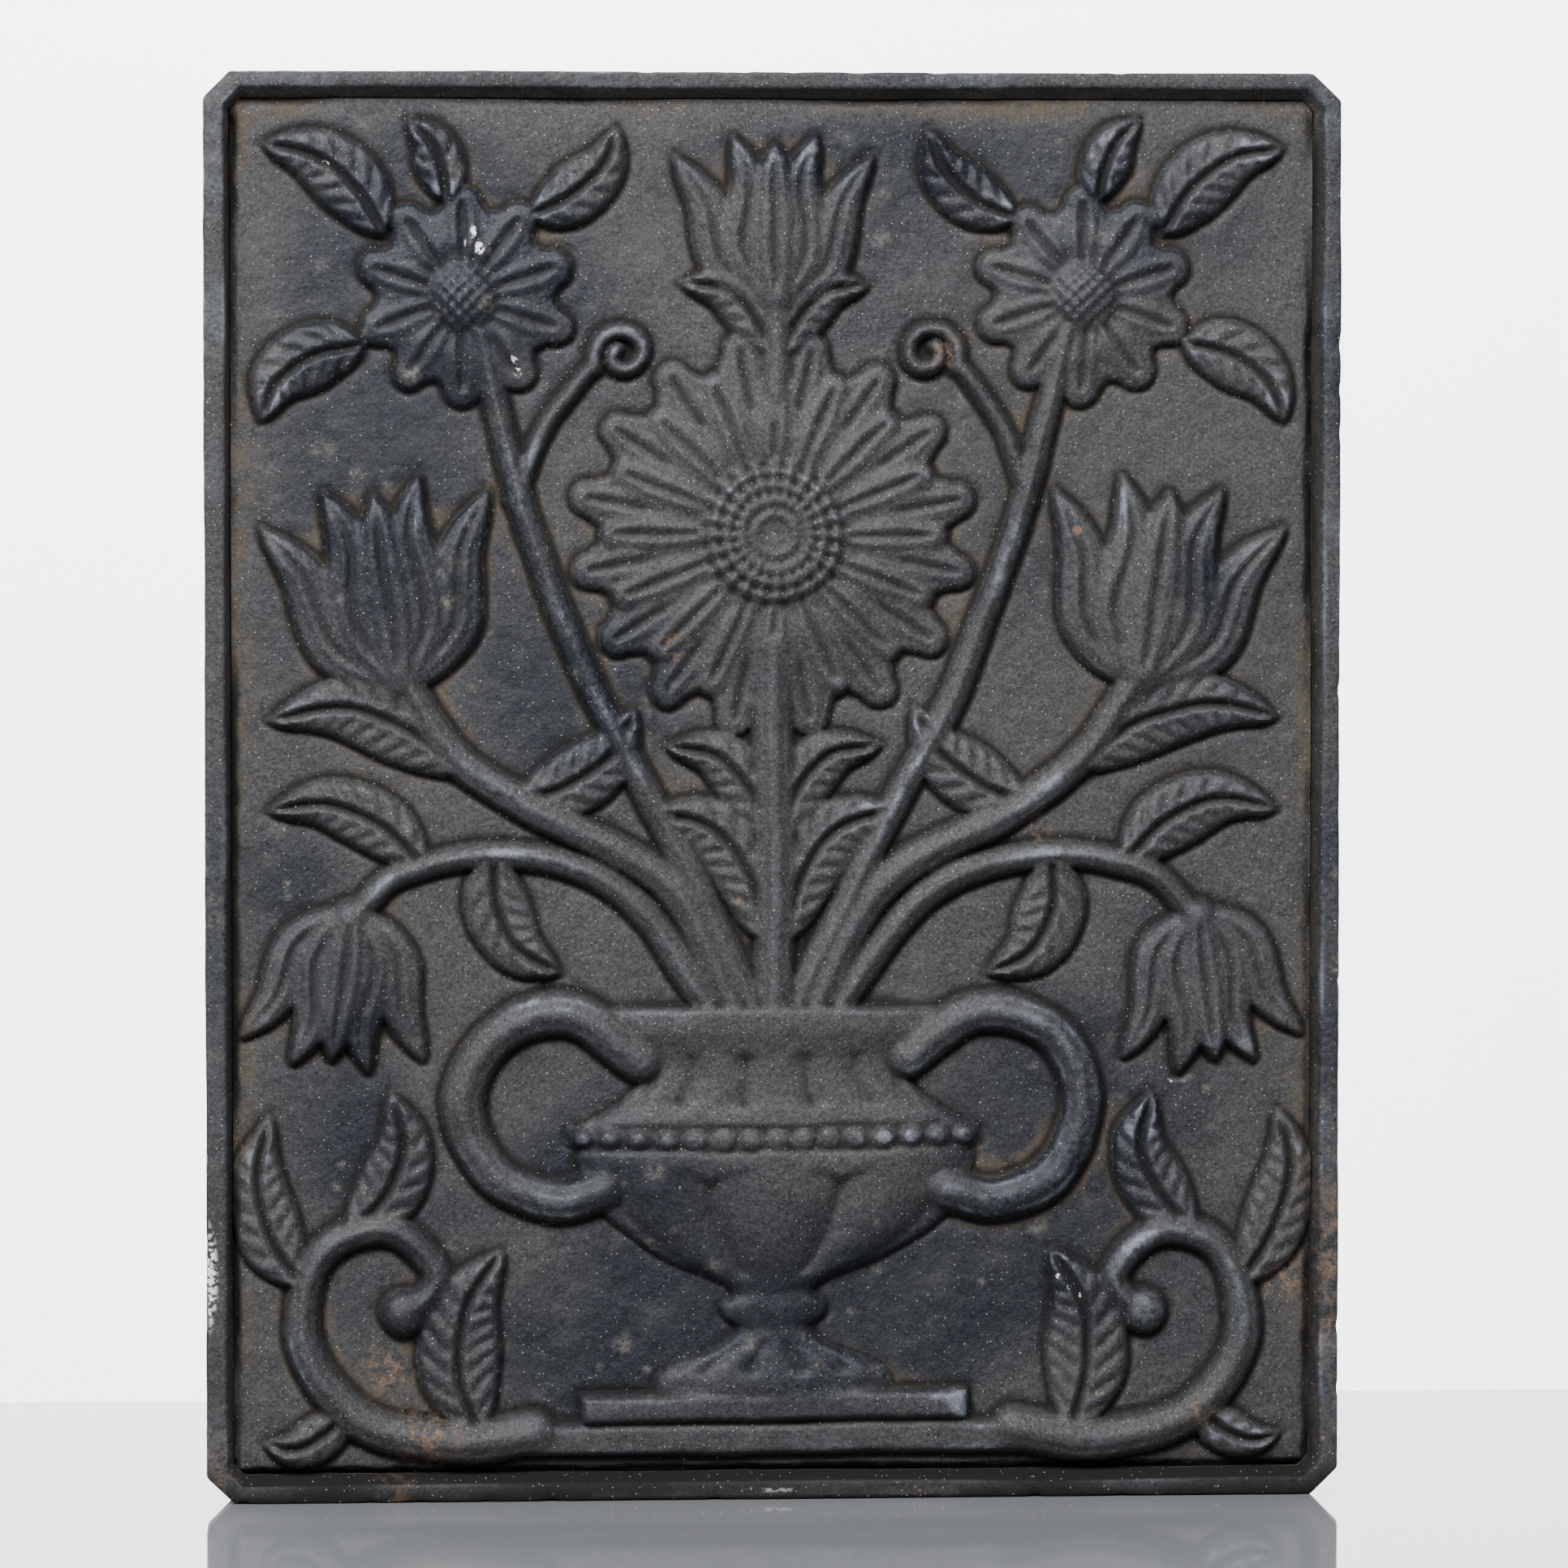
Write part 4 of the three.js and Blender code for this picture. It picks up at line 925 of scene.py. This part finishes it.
# ---- the stay rivets ---------------------------------------------------------------------------
# Four iron rivets, headed hot: a domed head on the stay's side, flattened by a few hammer blows, and
# a low or a sunk head on the other.
RIVET_RADIUS, RIVET_HEAD, RIVET_DOME = 3.0, 6.0, 3.4
rivet_iron = forged_iron("headed rivet iron", 31.0, (0.02, 0.0175, 0.016), 0.6, 0.5)


def spin_profile(profile, steps, ring=False):
    """A profile of [radius, height] points spun round Z; a ring's profile is closed."""
    bm = bmesh.new()
    verts = [bm.verts.new((radius, 0, rise)) for radius, rise in profile]
    wire = [bm.edges.new(pair) for pair in zip(verts, verts[1:] + verts[:1] if ring else verts[1:])]
    bmesh.ops.spin(bm, geom=[*verts, *wire], axis=(0, 0, 1), angle=2 * pi, steps=steps, use_merge=True)
    bmesh.ops.remove_doubles(bm, verts=bm.verts, dist=1e-4)
    return to_mesh(bm, "spun")


def seat(mesh, place, turn, sharpest):
    """Shades a mesh made in mm, turns it about X by those degrees and brings it to its place."""
    mesh.transform(Matrix.Translation(place) @ Matrix.Rotation(radians(turn), 4, "X") @ Matrix.Scale(MM, 4))
    shade(mesh, sharpest)


def rivet_mesh(length, low_head, seed):
    """A rivet along Z, its upper head flattened by a few blows."""
    shoulder = length - RIVET_DOME
    dome = [(RIVET_HEAD * cos(a), shoulder + RIVET_DOME * sin(a)) for a in map(radians, range(0, 90, 9))]
    profile = [(0.0, 0.0), *low_head, (RIVET_RADIUS, shoulder - 0.01), *dome, (0.0, length)]
    mesh = spin_profile(profile, 36)
    places = read_points(mesh)
    blows = np.random.RandomState(seed)
    for _ in range(7):
        way = np.array([blows.normal(0, 0.5), blows.normal(0, 0.5), 1.0])
        way /= np.linalg.norm(way)
        level = places - [0, 0, shoulder]
        over = level @ way - blows.uniform(0.93, 0.98) * (RIVET_DOME + 1.8 * (1 - way[2]) * RIVET_HEAD)
        places -= np.where((level[:, 2] > 0) & (over > 0), over, 0)[:, None] * way
    move_points(mesh, places)
    mark_points(mesh, "rubbed", bell((places[:, 2] - length) / 0.8))
    return mesh


for hand, side in HANDS:
    low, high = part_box(f"stay_rivet_upper_{hand}")
    low_head = [(RIVET_HEAD * 0.7, 0.0), (RIVET_HEAD, 2.0), (RIVET_RADIUS, 2.05)]
    upper = rivet_mesh((high.y - low.y) / MM, low_head, 90 + side)
    seat(upper, (side * FOOT_X * MM, low.y, (low.z + high.z) / 2), -90, 60)
    to_piece(f"upper_rivet_{hand}", upper, rivet_iron, "rivet_iron", f"stay_rivet_upper_{hand}")
    low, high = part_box(f"stay_rivet_lower_{hand}")
    low_head = [(RIVET_HEAD, 0.0), (RIVET_RADIUS, 3.4)]
    lower = rivet_mesh((high.z - low.z) / MM, low_head, 94 + side)
    seat(lower, (side * FOOT_X * MM, (low.y + high.y) / 2, low.z), 0, 60)
    to_piece(f"lower_rivet_{hand}", lower, rivet_iron, "rivet_iron", f"stay_rivet_lower_{hand}")


# ---- the studs ---------------------------------------------------------------------------------
# Four 8 mm studs screwed into the panel's bosses. Their threaded ends show past the nuts, dull grey
# with brown rust in the thread.
STUD_RADIUS, THREAD_PITCH, THREAD_DEPTH = 4.0, 1.25, 0.55
stud_iron = forged_iron("rusty thread iron", 41.0, (0.05, 0.046, 0.043), 0.4, 0.35)
corners_of_plate = [(level, hand) for level in ("lower", "upper") for hand in ("left", "right")]
for level, hand in corners_of_plate:
    low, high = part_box(f"stud_{level}_{hand}")
    length = (high.y - low.y) / MM
    bm = bmesh.new()
    bmesh.ops.create_cone(bm, cap_ends=True, segments=28, radius1=STUD_RADIUS, radius2=STUD_RADIUS,
                          depth=length)
    bmesh.ops.subdivide_edges(bm, edges=edges_along(bm, 2), cuts=round(length / 0.2), use_grid_fill=True)
    mesh = to_mesh(bm, "stud")
    x, y, z = read_points(mesh).T
    turn = np.arctan2(y, x) / (2 * pi)
    in_groove = 1 - np.abs(((z / THREAD_PITCH - turn) % 1) * 2 - 1)
    to_end = length / 2 - np.abs(z)
    chamfer = 0.9 * np.clip(1 - to_end / 0.9, 0, 1)
    radius = STUD_RADIUS - THREAD_DEPTH * in_groove * ease(to_end / 0.8) - chamfer
    off_axis = np.hypot(x, y) > 0.01
    x = np.where(off_axis, radius * np.cos(turn * 2 * pi), x)
    y = np.where(off_axis, radius * np.sin(turn * 2 * pi), y)
    move_points(mesh, np.stack([x, y, z], 1))
    mark_points(mesh, "rubbed", 1 - in_groove)
    seat(mesh, (low + high) / 2, 90, 55)
    to_piece(f"threaded_stud_{level}_{hand}", mesh, stud_iron, "stud_iron", f"stud_{level}_{hand}")


# ---- the washers -------------------------------------------------------------------------------
# Punched iron washers under the nuts, a little dished and rolled over at the rim by the punch.
WASHER_OUTER, WASHER_INNER = 9.0, 4.35
washer_iron = forged_iron("washer iron", 51.0, (0.036, 0.033, 0.031), 0.5, 0.5)
for n, (level, hand) in enumerate(corners_of_plate):
    low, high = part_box(f"washer_{level}_{hand}")
    thick = (high.y - low.y) / MM
    rim = [(WASHER_INNER, 0.0), (WASHER_OUTER - 0.5, 0.0), (WASHER_OUTER, 0.4), (WASHER_OUTER, thick - 0.7),
           (WASHER_OUTER - 0.25, thick - 0.25), (WASHER_OUTER - 0.8, thick), (WASHER_INNER + 0.3, thick),
           (WASHER_INNER, thick - 0.3)]
    mesh = spin_profile(rim, 48, ring=True)
    x, y, z = read_points(mesh).T
    z = z - 0.12 * (1 + sand_waves(x, y, 6, 100 + n)) * (z > thick / 2)
    move_points(mesh, np.stack([x, y, z], 1))
    mark_points(mesh, "rubbed", ease((np.hypot(x, y) - WASHER_OUTER + 1.2) / 1.0))
    seat(mesh, ((low.x + high.x) / 2, low.y, (low.z + high.z) / 2), -90, 40)
    to_piece(f"punched_washer_{level}_{hand}", mesh, washer_iron, "stud_iron", f"washer_{level}_{hand}")


# ---- the nuts ----------------------------------------------------------------------------------
# Square iron nuts with their outer corners turned off, screwed up against the washers. Their edges
# are burred bright by the wrench.
nut_iron = forged_iron("square nut iron", 61.0, (0.032, 0.029, 0.027), 0.5, 0.5)
for level, hand in corners_of_plate:
    bm = bmesh.new()
    bm.from_mesh(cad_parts[f"nut_{level}_{hand}"].data)
    bmesh.ops.remove_doubles(bm, verts=bm.verts, dist=1e-6)
    bmesh.ops.dissolve_limit(bm, angle_limit=radians(2), verts=bm.verts, edges=bm.edges)
    sharp = [e for e in bm.edges if degrees(e.calc_face_angle(0)) > 30]
    bmesh.ops.bevel(bm, geom=sharp, offset=0.35 * MM, segments=2, clamp_overlap=True, **bevel)
    mesh = to_mesh(bm, "nut")
    low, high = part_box(f"nut_{level}_{hand}")
    centre = (low + high) / 2
    places = read_points(mesh)
    reach = np.abs(places[:, [0, 2]] - [centre.x, centre.z]).max(1) / MM
    mark_points(mesh, "rubbed", ease((reach - 5.9) / 0.5) * ease((places[:, 1] - centre.y) / (2 * MM)))
    shade(mesh, 35)
    to_piece(f"square_nut_{level}_{hand}", mesh, nut_iron, "nut_iron", f"nut_{level}_{hand}")


# ---- the stage: board, studio floor, backdrop, light and camera ---------------------------------
# The plate stands on a glossy grey board that mirrors its foot, with a pale backdrop well behind it.
# Soft light falls from above and a little from the left, and the backdrop has a light of its own.
BOARD_BACK_Y = 0.268
BACKDROP_Y = 3.2
STUDIO_FLOOR_Z = -0.75


def stage_plane(name, size, place, turn):
    """A square sheet of that half size, turned about X by that many degrees."""
    bm = bmesh.new()
    bmesh.ops.create_grid(bm, x_segments=1, y_segments=1, size=size)
    bmesh.ops.rotate(bm, matrix=Matrix.Rotation(radians(turn), 3, "X"), verts=bm.verts)
    bmesh.ops.translate(bm, vec=place, verts=bm.verts)
    mesh = bpy.data.meshes.new(name)
    bm.to_mesh(mesh)
    bm.free()
    sheet = bpy.data.objects.new(name, mesh)
    bpy.context.scene.collection.objects.link(sheet)
    return sheet


board = stage_plane("glossy board", 4.0, (0, BOARD_BACK_Y - 4.0, 0), 0)
studio_floor = stage_plane("studio floor", 8.0, (0, 0, STUDIO_FLOOR_Z), 0)
backdrop = stage_plane("backdrop", 8.0, (0, BACKDROP_Y, STUDIO_FLOOR_Z + 8.0), 90)
board_finish = Finish("pale glossy board")
smear = board_finish.mottle(120, 5.0, 4)
board_finish.set(Base_Color=(0.162, 0.168, 0.18), Roughness=board_finish.graded(smear, 0.04, 0.08),
                 Coat_Weight=0.18)
board.data.materials.append(board_finish.material)
matt_finish = Finish("pale matt paper")
tone = matt_finish.mottle(900, 6.0, 2)
matt_finish.set(Base_Color=matt_finish.over((0.89, 0.89, 0.915), (0.91, 0.91, 0.935), tone), Roughness=0.9)
studio_floor.data.materials.append(matt_finish.material)
backdrop.data.materials.append(matt_finish.material)


def soft_light(name, place, aim, size, power, colour=(1, 1, 1)):
    """A soft box of that width and height, aimed at a point."""
    lamp = bpy.data.lights.new(name, "AREA")
    lamp.shape = "RECTANGLE"
    lamp.size, lamp.size_y = size
    lamp.energy = power
    lamp.color = colour
    box = bpy.data.objects.new(name, lamp)
    box.location = place
    box.rotation_euler = (Vector(aim) - Vector(place)).to_track_quat("-Z", "Y").to_euler()
    bpy.context.scene.collection.objects.link(box)


soft_light("overhead", (-0.42, -1.7, 1.8), (0, 0, 0.25), (1.8, 0.8), 194)
soft_light("left front", (-1.6, -1.0, 0.8), (0, 0, 0.25), (0.5, 0.9), 9, (0.93, 0.96, 1))
soft_light("backdrop light", (0, 1.0, 2.6), (0, BACKDROP_Y, 1.4), (3.0, 0.5), 620)
world = bpy.data.worlds.new("room")
bpy.context.scene.world = world
world.use_nodes = True
world.node_tree.nodes["Background"].inputs[0].default_value = (0.93, 0.95, 1, 1)
world.node_tree.nodes["Background"].inputs[1].default_value = 0.5

lens = bpy.data.cameras.new("camera")
lens.sensor_width = 36
lens.lens = 170.6
camera = bpy.data.objects.new("camera", lens)
camera.location = (-0.1696, -2.6, 0.3765)
camera.rotation_euler = (radians(90 - 2.755), 0, radians(-3.817))
bpy.context.scene.collection.objects.link(camera)
bpy.context.scene.camera = camera
